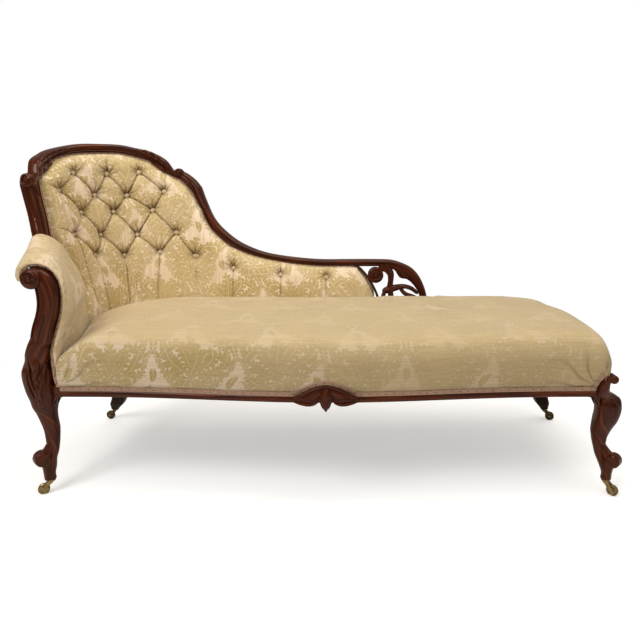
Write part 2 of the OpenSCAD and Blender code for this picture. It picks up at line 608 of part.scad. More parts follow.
function ramp(d) = let (t = clamp01(d / pad_round)) sqrt(1 - (1 - t) * (1 - t));
function pad_front(a, zs) =
  let (u = pad_u(a, zs) * back_run, z = rise(zs),
    over = (rise(top_of(a)) - z),
    left = zs > 0.599 ? (a - pad_left) * 2 * back_run : pad_round,
    right = (pad_right - a) * back_run,
    edge = min(ramp(over), ramp(left), ramp(right)))
  pad_in + (pad_d - pad_in) * (0.12 + 0.88 * edge) - tuft_d * tuft(u, z) * edge;
function column_top(a) = min(top_of(a), a < 0.022 ? 0.597 : 1);
function pad_point(a, t, deep) =
  let (zs = mix(pad_foot_share, column_top(a), t))
  wall(pad_u(a, zs) * back_run, rise(zs), deep < 0 ? pad_front(a, zs) : deep);
module pad_block(columns, rows, behind) {
  skin([for (a = columns) concat([for (t = rows) pad_point(a, t, -1)],
    [for (t = reversed(behind)) pad_point(a, t, pad_in)])],
    true, len(rows));
}
function button_in(b) = pad_front(b[0], b[1]);
pocket_room = 4;
pocket_d = button_d + pocket_room;
module on_wall(b, inset) {
  u = b[0] * back_run;
  z = rise(b[1]);
  translate(wall(u, z, inset)) rotate([0, 90 - wall_tilt, wall_yaw(u, z)]) children();
}
module back_pad() {
  color(damask) difference() {
    pad_block(columns_shares, pad_rows_shares, pad_behind_shares);
    for (b = button_shares) on_wall(b, button_in(b) - gap) cylinder(d = pocket_d, h = pad_d, $fn = 6);
  }
}
button_h = 6;
module back_buttons() {
  color(damask) for (b = button_shares) on_wall(b, button_in(b)) rotate_extrude($fn = 24)
    polygon(concat([[0, 0]], [for (i = [0:4]) [button_d / 2 * cos(i * 22.5),
      button_h / 3 + button_h * 2 / 3 * sin(i * 22.5)]],
      [[0, button_h]]));
}
module back_hessian() {
  foot = pad_foot_share + edge_gap;
  color(jute) skin([for (a = columns_shares) let (top = column_top(a) - 2 * edge_gap)
    concat([for (t = pad_behind_shares) let (z = mix(foot, top, t)) wall(pad_u(a, z) * back_run, rise(z),
      hessian_in)],
      [for (t = reversed(pad_behind_shares)) let (z = mix(foot, top, t)) wall(pad_u(a, z) * back_run,
        rise(z), hessian_in + hessian_t)])]);
}

// Outside back: cloth from the rails' underside to just inside the show-wood's edge
cover_t = 2;
cover_columns_shares = concat([-0.004, 0.001, 0.010, 0.018], [for (c = columns_shares) if (c > 0.019 && c < 0.40) c],
  [0.401, 0.4065, 0.417, 0.438, 0.460, 0.501, 0.544, 0.586, 0.650, 0.719, 0.800, 0.865, 0.867, 0.998]);
cover_lift = 8;
cover_in_share = 0.012;
module outside_back_cover() {
  foot = rail_z + cover_lift;
  rows = pad_behind_shares;
  color(damask) skin([for (a = cover_columns_shares) let (top = rise(lookup(a,
    outer_top_shares) - cover_in_share), u = a * back_run)
    concat([for (t = rows) wall(u, mix(foot, top, t), -layer_gap - cover_t)],
      [for (t = reversed(rows)) wall(u, mix(foot, top, t), -layer_gap)])]);
}

// Arm: outline at the front, as shares of the arm's width and of its height above the rails
arm_over = 12;
arm_left = -wheelbase / 2 - arm_over;
arm_front = [
  [0.650, -0.043], [0.675, 0.144], [0.750, 0.278], [0.867, 0.411], [0.967, 0.545], [1.008, 0.679], [0.983,
    0.796],
  [0.875, 0.896], [0.683, 0.967], [0.433, 1.000], [0.185, 0.985], [0.015, 0.942], [-0.070, 0.872], [-0.045,
    0.812]];
arm_inside = [
  [0.545, -0.043], [0.552, 0.144], [0.640, 0.278], [0.755, 0.411], [0.857, 0.545], [0.906, 0.679], [0.886,
    0.796],
  [0.778, 0.890], [0.625, 0.938], [0.433, 0.955], [0.265, 0.948], [0.150, 0.914], [0.102, 0.863], [0.098,
    0.820]];
// Outline where the arm meets the back: run and height shares, and inset as a share of pad_d
arm_rear = [
  [0.022, 0.125, 1.00], [0.026, 0.180, 1.00], [0.029, 0.237, 1.00], [0.034, 0.294, 1.00], [0.048, 0.347, 1.00],
  [0.044, 0.418, 1.00], [0.034, 0.470, 0.99], [0.023, 0.525, 0.96], [0.012, 0.572, 0.94], [-0.002, 0.603, 0.78],
  [-0.0048, 0.612, 0.33], [-0.0048, 0.603, 0.02], [-0.0048, 0.585, -0.16], [-0.0048, 0.565, -0.20]];
arm_rear_inside = [
  [0.022, 0.125, 0.64], [0.026, 0.180, 0.64], [0.029, 0.237, 0.64], [0.034, 0.294, 0.64], [0.048, 0.347, 0.64],
  [0.044, 0.418, 0.64], [0.032, 0.465, 0.64], [0.020, 0.510, 0.62], [0.008, 0.552, 0.66], [-0.0048, 0.572,
    0.46],
  [-0.0048, 0.575, 0.28], [-0.0048, 0.572, 0.12], [-0.0048, 0.562, 0.01], [-0.0048, 0.553, -0.07]];
arm_lip_y = -6;
arm_lip = 11;
function arm_at(p, y) = [arm_left + p[0] * arm_w, y, rail_top + p[1] * (arm_z - rail_top)];
function arm_back(q) = spot([q[0], q[1]], q[2] * pad_d);
function arm_outer(t) = [for (i = [0:len(arm_front) - 1]) mix(arm_at(arm_front[i], arm_lip_y + arm_lip),
  arm_back(arm_rear[i]), t)];
function arm_inner(t) = [for (i = [0:len(arm_front) - 1]) mix(arm_at(arm_inside[i], arm_lip_y + arm_lip),
  arm_back(arm_rear_inside[i]), t)];
function arm_lip_ring(k, y) = concat([for (i = [0:len(arm_front) - 1]) mix(arm_at(arm_inside[i], y),
  arm_at(arm_front[i], y), k)],
  reversed([for (p = arm_inside) arm_at(p, y)]));
module arm_pad() {
  color(damask) skin(concat([arm_lip_ring(0.6, arm_lip_y), arm_lip_ring(0.92, arm_lip_y + arm_lip * 0.35)],
    [for (i = [0:6]) concat(arm_outer(i / 6), reversed(arm_inner(i / 6)))]), true);
}
arm_trim_shares = [0.06, 0.46];
module arm_gimp() {
  color(jute) skin([for (i = [0:len(arm_front) - 1])
    let (a = mix(arm_inside[i], arm_front[i], arm_trim_shares[0]), b = mix(arm_inside[i], arm_front[i],
      arm_trim_shares[1]),
      y = arm_lip_y - gap)
    [arm_at(a, y), arm_at(b, y), arm_at(b, y - gimp_t), arm_at(a, y - gimp_t)]], true);
}
roll_front = [0.345, 0.853];
roll_rear = [-0.0048, 0.536, 0.27];
roll_r = 27.5;
roll_end_r = 17;
module arm_roll_rail() {
  a = arm_at(roll_front, facing_back + gap);
  b = arm_back(roll_rear);
  color(beech) skin([for (t = [0, 1]) [for (i = [0:23]) let (r = mix(roll_r, roll_end_r, t), g = 15 * i)
    mix(a, [b[0], b[1] - gap, b[2]], t) + [r * cos(g), 0, r * sin(g)]]], true);
}
arm_rail_h = 26;
arm_rail_t = 24;
module arm_tacking_rail() {
  color(beech) wall_band(leg_back + gap - corner_y, stile_shares[0][0] * back_run - gap, rail_top + gap,
    rail_top + gap + arm_rail_h, board_in, board_in + arm_rail_t);
}
arm_sheet = [1, 6];
// Slack between the arm's hessian and its stuffing, for the twist of both
arm_slack = 1.4;
function slipped(list, by) = [for (i = [arm_sheet[0]:arm_sheet[1]]) list[i] - [by, 0, 0]];
arm_sheet_steps = 16;
module arm_hessian() {
  color(jute) skin([for (i = [0:arm_sheet_steps]) let (t = mix(0.09, 0.95, i / arm_sheet_steps), p = arm_inner(t))
    concat(halved(slipped(p, arm_slack)), reversed(halved(slipped(p, arm_slack + hessian_t))))], true);
}
// Outside of the arm, from under the roll to the rails' underside: [share of arm_w, height]
outside_front = [[0.36, 0.735], [0.405, 0.60], [0.31, 0.445], [0.145, 0.29], [-0.025, 0.137], [-0.055, 0.03]];
outside_rear = [0.50, 0.45, 0.38, 0.30, 0.20, 0.13];
module arm_outside_cover() {
  low = rail_z + cover_lift;
  function front_edge(i) = arm_at(outside_front[i], outside_front[i][1] > 0.2 ? facing_back + gap : leg_back + gap);
  function rear_edge(z) = wall(stile_shares[0][0] * back_run - gap, z, -gap);
  color(damask) skin([for (k = [0:4]) let (t = k / 4)
    let (edge = concat([for (i = [0:5]) mix(front_edge(i), rear_edge(rise(outside_rear[i])), t)],
      [mix([wall(0, low, -gap)[0], leg_back + gap, low], rear_edge(low), t)]))
    concat(edge, reversed([for (p = edge) p - [cover_t, 0, 0]]))]);
}

// Seat: webbing and springs in the frame, hessian over them, and the upholstered pad on top
seat_web_z = rail_z - gap;
web_lengths = 3;
web_crosses = 8;
tack_over = 20;
leg_clear = 76;
module seat_webbing() {
  color(jute) {
    for (i = [0:web_lengths - 1])
      translate([-wheelbase / 2 + head_out + leg_clear / 2, mix(leg_clear + web_w / 2,
        rear_y - 4 * rail_t - web_w, i / (web_lengths - 1)) - web_w / 2,
        seat_web_z - web_t])
        cube([wheelbase - foot_in - head_out - leg_clear / 2 - tack_over / 2, web_w, web_t]);
    for (i = [0:web_crosses - 1]) {
      x = mix(-front_end + leg_clear + web_w, front_end - leg_clear, i / (web_crosses - 1));
      translate([x - web_w / 2, front_y(x) + tack_over / 2, seat_web_z - 2 * web_t - gap])
        cube([web_w, rear_y - tack_over / 2 - front_y(x) - tack_over / 2, web_t]);
    }
  }
}
tray_z = 432;
spring_turns = 4;
spring_steps = 8;
waist_share = 0.62;
spring_rows = 2;
spring_low = rail_z + wire_d / 2 + gap;
spring_high = tray_z - gap - wire_d / 2;
// Hourglass coil: one unbroken tube, round at the ends and drawn in at the waist
function coil_point(i) =
  let (n = spring_turns * spring_steps, t = i / n, e = clamp01((i - spring_steps) / (n - 2 * spring_steps)),
    r = (spring_d - wire_d) / 2 * (1 - (1 - waist_share) * sin(180 * t)), a = 360 * i / spring_steps,
    slack = (wire_d + 4 * gap) / (spring_high - spring_low),
    up = t < 0.25 ? slack * 4 * t : (t > 0.75 ? 1 - slack * 4 * (1 - t) : mix(slack, 1 - slack,
      (t - 0.25) * 2)))
  [r * cos(a), r * sin(a), mix(spring_low, spring_high, up)];
function coil_ring(i) =
  let (p = coil_point(i), a = 360 * i / spring_steps, r = wire_d / 2)
  [for (k = [0:3]) p + r * [cos(a) * cos(90 * k + 45), sin(a) * cos(90 * k + 45), sin(90 * k + 45)]];
springs_from = 118;
springs_to = 110;
spring_low_x = -front_end + springs_from;
spring_high_x = front_end - springs_to;
// Rows: the first keeps off the front edge, the last off the back; both follow the track
spring_near_in = 58.8;
spring_near_share = 0.1155;
spring_far_out = 43.8;
spring_far_share = 0.7581;
spring_near = spring_near_in + track * spring_near_share;
spring_far = track * spring_far_share - spring_far_out;
module seat_springs() {
  color(steel) for (i = [0:spring_count - 1], j = [0:spring_rows - 1])
    translate([mix(spring_low_x, spring_high_x, i / (spring_count - 1)), mix(spring_near, spring_far,
      j / (spring_rows - 1)), 0])
      skin([for (k = [0:spring_turns * spring_steps]) coil_ring(k)], true);
}

// Hessian tray: sits on the rails and rises over the springs
tray_left = 14;
tray_right = 8;
tray_behind = 62;
tray_x0 = -front_end + tray_left;
tray_x1 = foot_x - rail_t + tray_right;
tray_y0 = 34;
tray_y1 = rear_y - rail_t - tray_behind;
tray_in = 34;
tray_cut = 70;
function tray_line(x0, x1, y0, y1, c) = [[x0, y0], [x1, y0], [x1, y1], [x0 + c, y1], [x0, y1 - c]];
module tray(grow, drop) {
  wide = grow + drop * tray_in / (tray_z - rail_top - gap);
  low = [for (p = tray_line(tray_x0 - wide, tray_x1 + wide, tray_y0 - wide, tray_y1 + wide,
    tray_cut)) [p[0], p[1], rail_top + gap - drop]];
  high = [for (p = tray_line(tray_x0 + tray_in - grow, tray_x1 - tray_in + grow, tray_y0 + tray_in - grow,
    tray_y1 - tray_in + grow, tray_cut)) [p[0], p[1], tray_z + grow]];
  skin([low, high]);
}
module seat_hessian() {
  color(jute) difference() {
    tray(hessian_t, 0);
    tray(0, cut);
  }
}

// Seat pad: rings across the couch, each from the front tack line over the crown to the rear
pad_low = rail_z + mould_h + gap;
pad_out = 16;
pad_side_shares = [[0.2, 0], [0.2, 0.075], [0.56, 0.115], [0.87, 0.22], [1, 0.38], [1, 0.545], [0.9, 0.68],
  [0.68, 0.79], [0.22, 0.885], [-0.5, 0.945], [-1.7, 0.98], [-3.9, 1.0]];
crown_shares = [[0.25, 1.012], [0.42, 1.018], [0.60, 1.014], [0.78, 1.0]];
against_back_shares = [[-3.6, 0.998], [-1.9, 0.99], [-0.8, 0.97], [-0.2, 0.92], [0, 0.80], [0, 0.40]];
open_back_shares = [[-2.6, 0.99], [-0.8, 0.95], [0.5, 0.86], [1, 0.70], [1, 0.30], [0.25, 0]];
seat_corner_r = corner_r + lean(rise(pad_foot_share)) - pad_d - gap;
back_seat_y = corner_y + seat_corner_r - gap;
fret_seat_y = corner_y + corner_r - frame_d - 3 * gap;
open_after = 8;
open_run = 30;
fret_run = 60;
open_from = corner_x + back_run * (1 - corner_run_share) + open_after;
function open_k(x) = smooth((x - open_from) / open_run);
function seat_back(x) = mix(mix(back_seat_y, fret_seat_y, smooth((x - corner_x - 0.45 * back_run) / fret_run)),
  rear_y + gap, open_k(x));
seat_along_shares = [0, 0.004, 0.012, 0.026, 0.05, 0.09, 0.14, 0.20, 0.27, 0.34, 0.41, 0.48, 0.54, 0.60,
  0.66, 0.705,
  0.725, 0.745, 0.79, 0.85, 0.90, 0.93, 0.95];
// Last stations before the foot end, in steps of the pad's overhang
seat_end_shares = [3.2, 2.3, 1.6, 1.1, 0.79, 0.77, 0.5, 0.25, 0.08, 0];
seat_left = -front_end + gap;
seat_right = foot_x + pad_out;
seat_span = seat_right - seat_left;
front_corner = 30;
rear_corner = 95;
left_fall = 190;
left_low_share = 0.60;
even_from = 120;
even_run = 220;
left_power = 2.6;
function end_d(s) = (1 - s) * seat_span;
end_round = 52;
end_under = 12.5;
// Height left at the foot end: the side's own profile read from the top and from below
function end_high(s) = 1 - 0.45 * pow(clamp01(1 - end_d(s) / end_round), 2.2);
function end_low(s) = end_d(s) > end_under ? 0 : 0.075 + 0.305 * pow(clamp01(1 - end_d(s) / end_under), 1.3);
function start_high(s) = 1 - (1 - left_low_share) * pow(clamp01(1 - s * seat_span / left_fall), left_power);
function seat_edge(s, r) = r * (1 - sqrt(1 - pow(clamp01(1 - end_d(s) / r), 2)));
seat_corner_power = 3.4;
left_bulge = 11;
bulge_from = 30;
bulge_run = 230;
function corner_line(y) = corner_x - seat_corner_r
  * pow(1 - pow(clamp01((y - corner_y) / seat_corner_r), seat_corner_power), 1 / seat_corner_power);
function left_x(y) = max(seat_left - left_bulge * smooth((y - bulge_from) / bulge_run), corner_line(y));
// Height share of a row, with the two rows behind the gimp kept level all round
gimp_share = 0.075;
corner_reach_share = 0.6;
function level(low, high, k) = k > gimp_share ? mix(max(low, gimp_share), high,
  (k - gimp_share) / (1 - gimp_share))
  : (low > 0 ? low + k / 100 : k);
function seat_ring(s) =
  let (x = mix(seat_left, seat_right, s), yf = front_y(min(x, front_end)) - gap + seat_edge(s, front_corner),
    yb = seat_back(x) - seat_edge(s, rear_corner), k = open_k(x), low = end_low(s),
    rows = concat(
      [for (p = pad_side_shares) [yf - p[0] * pad_out, p[1]]],
      [for (p = crown_shares) [mix(yf, yb, p[0]), p[1]]],
      [for (i = [0:5]) let (a = against_back_shares[i], b = open_back_shares[i])
        [mix(yb + a[0] * pad_out, yb + b[0] * pad_out, k), mix(a[1], b[1], k)]]))
  [for (r = rows) let (high = min(mix(start_high(s), 1, 0.9 * smooth((r[0] - even_from) / even_run)),
    end_high(s)))
    [x + (left_x(r[0]) - seat_left) * (1 - smooth(s / corner_reach_share)), r[0],
      pad_low + (seat_z - pad_low) * level(low, high, r[1])]];
seat_stations = concat(seat_along_shares, [for (e = seat_end_shares) 1 - e * pad_out / seat_span]);
module rail_footprint(grow, top) {
  translate([0, 0, rail_z - cut]) linear_extrude(top - rail_z + cut)
    polygon(concat(front_line(grow, -front_end - rail_t, foot_x - rail_t), [[foot_x + grow,
      front_y(front_end) - grow],
      [foot_x + grow, rear_y + grow], [-wheelbase / 2, rear_y + grow], [-wheelbase / 2,
        front_y(front_end) - grow]]));
}
ear_z = leg_z(1.25);
module seat_pad() {
  color(damask) difference() {
    skin([for (s = seat_stations) seat_ring(s)], true, len(pad_side_shares) + 2);
    rail_footprint(gap, rail_top + 2 * gap);
    tray(hessian_t + gap, cut);
    translate([front_end - cut, -rail_t - mould_out, rail_z]) cube([leg_w,
      rail_t + mould_out + foot_leg_back + gap, ear_z + gap - rail_z]);
    translate([foot_x - leg_block[0], rear_block_y - gap, rail_z]) cube([leg_w, leg_w, rail_h + 2 * gap]);
    translate([carving_at, 0, rail_z]) rotate([90, 0, 0]) linear_extrude(leg_w) scale(1.06) carving_outline();
  }
}
gimp_h = 11.5;
gimp_out = 4.2;
module seat_gimp() {
  z = rail_z + mould_h + gap;
  side = carving_w * 1.06 + gap;
  color(jute) translate([0, 0, z]) linear_extrude(gimp_h) {
    for (r = [[-front_end + gap, carving_at - side], [carving_at + side, front_end - gap]])
      polygon(concat(front_line(gimp_out, r[0], r[1]), reversed(front_line(gimp_out + gimp_t, r[0], r[1]))));
    translate([foot_x + gimp_out, foot_leg_back + gap]) square([gimp_t,
      rear_block_y - foot_leg_back - 2 * gap]);
  }
}

// Black cloth under the seat
dust_t = 1.2;
dust_z = seat_web_z - 2 * web_t - 2 * gap - dust_t;
dust_in = 12;
module dust_cover() {
  color(linen) translate([0, 0, dust_z]) linear_extrude(dust_t) polygon(concat(
    front_line(-dust_in, -front_end + leg_w * 0.2, front_end - leg_w * 0.2),
    [[front_end - leg_w * 0.2, leg_clear], [foot_x - dust_in, leg_clear], [foot_x - dust_in,
      rear_y - leg_w * 0.8],
     [foot_x - leg_w * 0.8, rear_y - leg_w * 0.8], [foot_x - leg_w * 0.8, rear_y - dust_in]],
    reversed(wall_line((block_to_share + 0.02) * back_run, corner_run, dust_in)),
    [let (p = wall(block_to_share * back_run, rail_z, rear_top * 1.6)) [p[0], p[1]],
     let (p = wall(block_from_share * back_run, rail_z, rear_top * 1.6)) [p[0], p[1]]],
    reversed(wall_line(leg_clear - corner_y, (block_from_share - 0.02) * back_run, dust_in)),
    [[-front_end + leg_w * 0.2, leg_clear]]));
}

// Casters: a fixed plate with its stem and swivel pin, a fork, an axle and a wheel
run_gap = 0.05;
plate_d = 24;
pin_head_d = 11;
pin_head_t = 1.4;
crown_t = 2.4;
crown_d = 22;
cheek_t = 2.2;
cheek_gap = 0.6;
hub_d = 12;
rear_turn = 20;
pivots = [head_pivot, foot_pivot, head_rear_pivot, foot_rear_pivot];
turns = [200, -45, 170, -rear_turn];
plate_z = foot_z - plate_t;
crown_z = plate_z - gap - crown_t;
fork_w = wheel_w + 2 * cheek_gap + 2 * cheek_t;
module at_pivot(i) {
  translate([pivots[i][0], pivots[i][1], 0]) rotate([0, 0, turns[i]]) children();
}
module caster_plate(i) {
  color(brass) at_pivot(i) {
    translate([0, 0, plate_z]) cylinder(d = plate_d, h = plate_t - gap / 3, $fn = 48);
    translate([0, 0, plate_z]) cylinder(d = stem_d, h = plate_t + stem_h, $fn = 24);
    translate([0, 0, crown_z - gap - pin_head_t]) cylinder(d = pin_head_d, h = pin_head_t, $fn = 32);
    translate([0, 0, crown_z - gap - pin_head_t]) cylinder(d = pin_d,
      h = plate_z - crown_z + gap + pin_head_t, $fn = 32);
  }
}
module cheek() {
  rotate([90, 0, 0]) linear_extrude(cheek_t) polygon([
    [-crown_d * 0.30, crown_z + crown_t / 2], [crown_d * 0.34, crown_z + crown_t / 2], [crown_d * 0.5,
      crown_z - crown_t],
    [trail + hub_d * 0.42, wheel_d / 2 + hub_d * 0.55], [trail + hub_d / 2, wheel_d / 2 + hub_d * 0.1],
    [trail + hub_d * 0.35, wheel_d / 2 - hub_d * 0.4], [trail - hub_d * 0.15, wheel_d / 2 - hub_d / 2],
    [trail - hub_d * 0.5, wheel_d / 2 - hub_d * 0.1], [crown_d * 0.1, crown_z - crown_t * 3.4],
      [-crown_d * 0.2, crown_z - crown_t * 1.5]]);
}
module caster_fork(i) {
  color(brass) at_pivot(i) difference() {
    union() {
      translate([0, 0, crown_z]) cylinder(d = crown_d, h = crown_t, $fn = 48);
      for (s = [0, 1]) translate([0, s == 0 ? -fork_w / 2 + cheek_t : fork_w / 2, 0]) cheek();
    }
    translate([0, 0, crown_z - cut]) cylinder(d = pin_d + 2 * run_gap, h = crown_t + 2 * cut, $fn = 32);
    translate([trail, fork_w, wheel_d / 2]) rotate([90, 0, 0]) cylinder(d = axle_d + 2 * run_gap,
      h = 2 * fork_w, $fn = 32);
  }
}
axle_head = 1;
module caster_axle(i) {
  color(steel) at_pivot(i) translate([trail, fork_w / 2 + axle_head, wheel_d / 2]) rotate([90, 0, 0]) {
    cylinder(d = axle_d, h = fork_w + 2 * axle_head, $fn = 32);
    cylinder(d = axle_d + 2 * axle_head, h = axle_head - gap / 3, $fn = 32);
    translate([0, 0, fork_w + axle_head + gap / 3]) cylinder(d = axle_d + 2 * axle_head,
      h = axle_head - gap / 3, $fn = 32);
  }
}
tread = 1.5;
module caster_wheel(i) {
  color(brass) at_pivot(i) translate([trail, wheel_w / 2, wheel_d / 2]) rotate([90, 0, 0]) difference() {
    rotate_extrude($fn = 64) polygon([[0, 0], [hub_d / 2, 0], [hub_d / 2 + tread, tread],
      [wheel_d / 2 - 2 * tread, tread],
      [wheel_d / 2 - tread, 0], [wheel_d / 2, tread], [wheel_d / 2, wheel_w - tread], [wheel_d / 2 - tread,
        wheel_w],
      [wheel_d / 2 - 2 * tread, wheel_w - tread], [hub_d / 2 + tread, wheel_w - tread], [hub_d / 2,
        wheel_w], [0, wheel_w]]);
    translate([0, 0, -cut]) cylinder(d = axle_d + 2 * run_gap, h = wheel_w + 2 * cut, $fn = 32);
  }
}

// Origin: middle of the couch's bounding box in plan, at the floor
gap_out = layer_gap + cover_t;
carving_out = 12;
x_low = min([for (q = outer_top_shares) spot([q[0], q[1] - cover_in_share], -gap_out)[0]]);
x_high = wheelbase / 2 + (trail + wheel_d / 2) * cos(rear_turn) + wheel_w / 2 * sin(rear_turn);
y_low = rail_end_y - rail_bow - mould_out - carving_out - gap;
y_high = max([for (q = outer_top_shares) spot([q[0], q[1] - cover_in_share], -gap_out)[1]]);
module in_place() {
  translate([-(x_low + x_high) / 2, -(y_low + y_high) / 2, 0]) children();
}

in_place() front_seat_rail();
in_place() rear_seat_rail();
in_place() foot_end_rail();
in_place() head_end_rail();
in_place() cross_stretcher();
in_place() corner_blocks();
in_place() head_leg();
in_place() foot_leg();
in_place() rear_head_leg();
in_place() rear_foot_leg();
in_place() apron_carving();
in_place() head_stile();
in_place() crest_rail();
in_place() sweep_rail();
in_place() end_post();
in_place() pierced_bracket();
in_place() back_gimp();
in_place() back_uprights();
in_place() back_tacking_rail();
in_place() back_webbing();
in_place() back_hessian();
in_place() back_pad();
in_place() back_buttons();
in_place() outside_back_cover();
in_place() arm_roll_rail();
in_place() arm_tacking_rail();
in_place() arm_hessian();
in_place() arm_pad();
in_place() arm_gimp();
in_place() arm_outside_cover();
in_place() seat_webbing();
in_place() seat_springs();
in_place() seat_hessian();
in_place() seat_pad();
in_place() seat_gimp();
in_place() dust_cover();
in_place() caster_plate(0);  // head_front_plate
in_place() caster_fork(0);  // head_front_fork
in_place() caster_axle(0);  // head_front_axle
in_place() caster_wheel(0);  // head_front_wheel
in_place() caster_plate(1);  // foot_front_plate
in_place() caster_fork(1);  // foot_front_fork
in_place() caster_axle(1);  // foot_front_axle
in_place() caster_wheel(1);  // foot_front_wheel
in_place() caster_plate(2);  // head_rear_plate
in_place() caster_fork(2);  // head_rear_fork
in_place() caster_axle(2);  // head_rear_axle
in_place() caster_wheel(2);  // head_rear_wheel
in_place() caster_plate(3);  // foot_rear_plate
in_place() caster_fork(3);  // foot_rear_fork
in_place() caster_axle(3);  // foot_rear_axle
in_place() caster_wheel(3);  // foot_rear_wheel
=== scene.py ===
"""Dresses a carved and buttoned fainting couch around its packed frame.

Every shape is worked out in millimetres on the couch's own axes (x = 0 midway between the
casters, y = 0 at the corner of the front feet, z = 0 at the floor) and moved once, when
its mesh is made. The back's shapes use the same wall function as the frame's upholstery:
a run along the back, a height, and an inset from the outer face.
"""

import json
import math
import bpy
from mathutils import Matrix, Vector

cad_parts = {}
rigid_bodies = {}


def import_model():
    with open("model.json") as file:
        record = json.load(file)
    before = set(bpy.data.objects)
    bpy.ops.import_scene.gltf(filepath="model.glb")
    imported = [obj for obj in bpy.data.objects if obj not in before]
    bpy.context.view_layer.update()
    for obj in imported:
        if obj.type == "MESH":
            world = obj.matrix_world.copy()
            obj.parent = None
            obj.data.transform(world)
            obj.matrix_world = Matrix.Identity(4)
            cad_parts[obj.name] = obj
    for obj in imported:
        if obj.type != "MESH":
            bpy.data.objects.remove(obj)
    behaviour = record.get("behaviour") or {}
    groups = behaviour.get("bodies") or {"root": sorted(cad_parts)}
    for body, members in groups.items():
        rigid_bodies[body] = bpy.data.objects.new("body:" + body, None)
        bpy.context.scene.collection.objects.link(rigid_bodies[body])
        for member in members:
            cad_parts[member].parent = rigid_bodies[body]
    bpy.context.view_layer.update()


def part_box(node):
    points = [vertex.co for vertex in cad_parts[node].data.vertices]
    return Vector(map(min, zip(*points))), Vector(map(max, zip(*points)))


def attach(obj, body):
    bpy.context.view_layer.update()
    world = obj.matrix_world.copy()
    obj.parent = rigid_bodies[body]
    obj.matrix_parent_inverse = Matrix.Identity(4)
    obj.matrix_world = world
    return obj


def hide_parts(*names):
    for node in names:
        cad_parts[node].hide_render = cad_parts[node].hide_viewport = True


bl_info = {
    "name": "Fainting couch",
    "version": (1, 0, 0),
    "blender": (4, 5, 0),
    "location": "3D View > Sidebar > Couch",
    "description": "Show-wood, carving, buttoned back, sprung seat, gimp and casters of a fainting couch",
    "category": "Add Mesh",
}

import bpy
import numpy as np
from mathutils import Vector

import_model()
COUCH = "couch"
MM = 0.001

# Sizes of the frame in millimetres, as its source names them
RAIL_Z, RAIL_H, RAIL_T = 302.0, 85.0, 28.0
RAIL_TOP = RAIL_Z + RAIL_H
SEAT_Z, BACK_Z, BACK_RUN = 488.0, 1022.0, 1390.0
BACK_H = BACK_Z - RAIL_Z
# How far the back leans out for each millimetre of height
LEAN = 0.17
CORNER_R, FRAME_D, PAD_D = 352.0, 34.0, 59.0
CORNER_X, CORNER_Y = -820.0 - 2.0 + CORNER_R, 537.0 - CORNER_R
# Share of the back's run at which its corner ends
CORNER_SHARE = 0.4065
CORNER_RUN = CORNER_SHARE * BACK_RUN
REAR_Y, FOOT_X, FRONT_END = 537.0, 775.0, 749.5
HEAD_X, END_X = -820.0, 820.0
PAD_IN = 24.6
# How deep carving is sunk into the wood that it stands on
SINK = 2.0
LEG_W, FOOT_Z = 92.0, 44.5
ARM_LEFT, ARM_W, ARM_Z = -832.0, 121.0, 686.0
MOULD_H, MOULD_OUT = 18.0, 8.0
END_RAIL_Y, APRON_X = 46.3, -6.0
# The couch's own axes against the frame's, from the corner of the foot-end rail
RAIL_NEAR, RAIL_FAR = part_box("foot_end_rail")
SHIFT = np.array([RAIL_FAR.x / MM - FOOT_X - MOULD_OUT, RAIL_NEAR.y / MM - END_RAIL_Y, 0.0])


# Small functions on numbers and curves

def mix(a, b, t):
    """Straight blend from a to b."""
    return a + (b - a) * t


def smooth(t):
    """S-shaped blend: 3t squared minus 2t cubed, held at 0 and 1."""
    c = np.clip(t, 0, 1)
    return c * c * (3 - 2 * c)


def bell(d, width):
    """Bell curve of a distance: e to the power of minus its square over the width's square."""
    return np.exp(-(d / width) ** 2)


def spline(points, count, closed=False):
    """Smooth curve through rows of any shape, sampled evenly along its chords.

    Each span is the cubic blend of its two rows and their slopes, and each row's slope is
    the chord between its neighbours over their distance.
    """
    p = np.asarray(points, float)
    flat = p.reshape(len(p), -1)
    if closed:
        flat = np.vstack([flat, flat[:1]])
    step = np.linalg.norm(np.diff(flat, axis=0), axis=1)
    knots = np.concatenate([[0], np.cumsum(np.maximum(step, 1e-6))])
    slope = np.empty_like(flat)
    slope[1:-1] = (flat[2:] - flat[:-2]) / (knots[2:] - knots[:-2])[:, None]
    if closed:
        slope[0] = slope[-1] = (flat[1] - flat[-2]) / (knots[1] + knots[-1] - knots[-2])
    else:
        slope[0] = (flat[1] - flat[0]) / (knots[1] - knots[0])
        slope[-1] = (flat[-1] - flat[-2]) / (knots[-1] - knots[-2])
    at = np.linspace(0, knots[-1], count, endpoint=not closed)
    i = np.clip(np.searchsorted(knots, at, side="right") - 1, 0, len(flat) - 2)
    h = (knots[i + 1] - knots[i])[:, None]
    t = ((at - knots[i])[:, None]) / h
    out = ((2 * t**3 - 3 * t**2 + 1) * flat[i] + (t**3 - 2 * t**2 + t) * h * slope[i]
           + (3 * t**2 - 2 * t**3) * flat[i + 1] + (t**3 - t**2) * h * slope[i + 1])
    return out.reshape((count,) + p.shape[1:])


def look(table, at):
    """Value of a table of (place, value) rows at the given places."""
    t = np.asarray(table, float)
    return np.interp(at, t[:, 0], t[:, 1])


# The wall of the back

def lean(z):
    """How far the back leans out at a height."""
    return np.maximum(0, z - RAIL_TOP) * LEAN


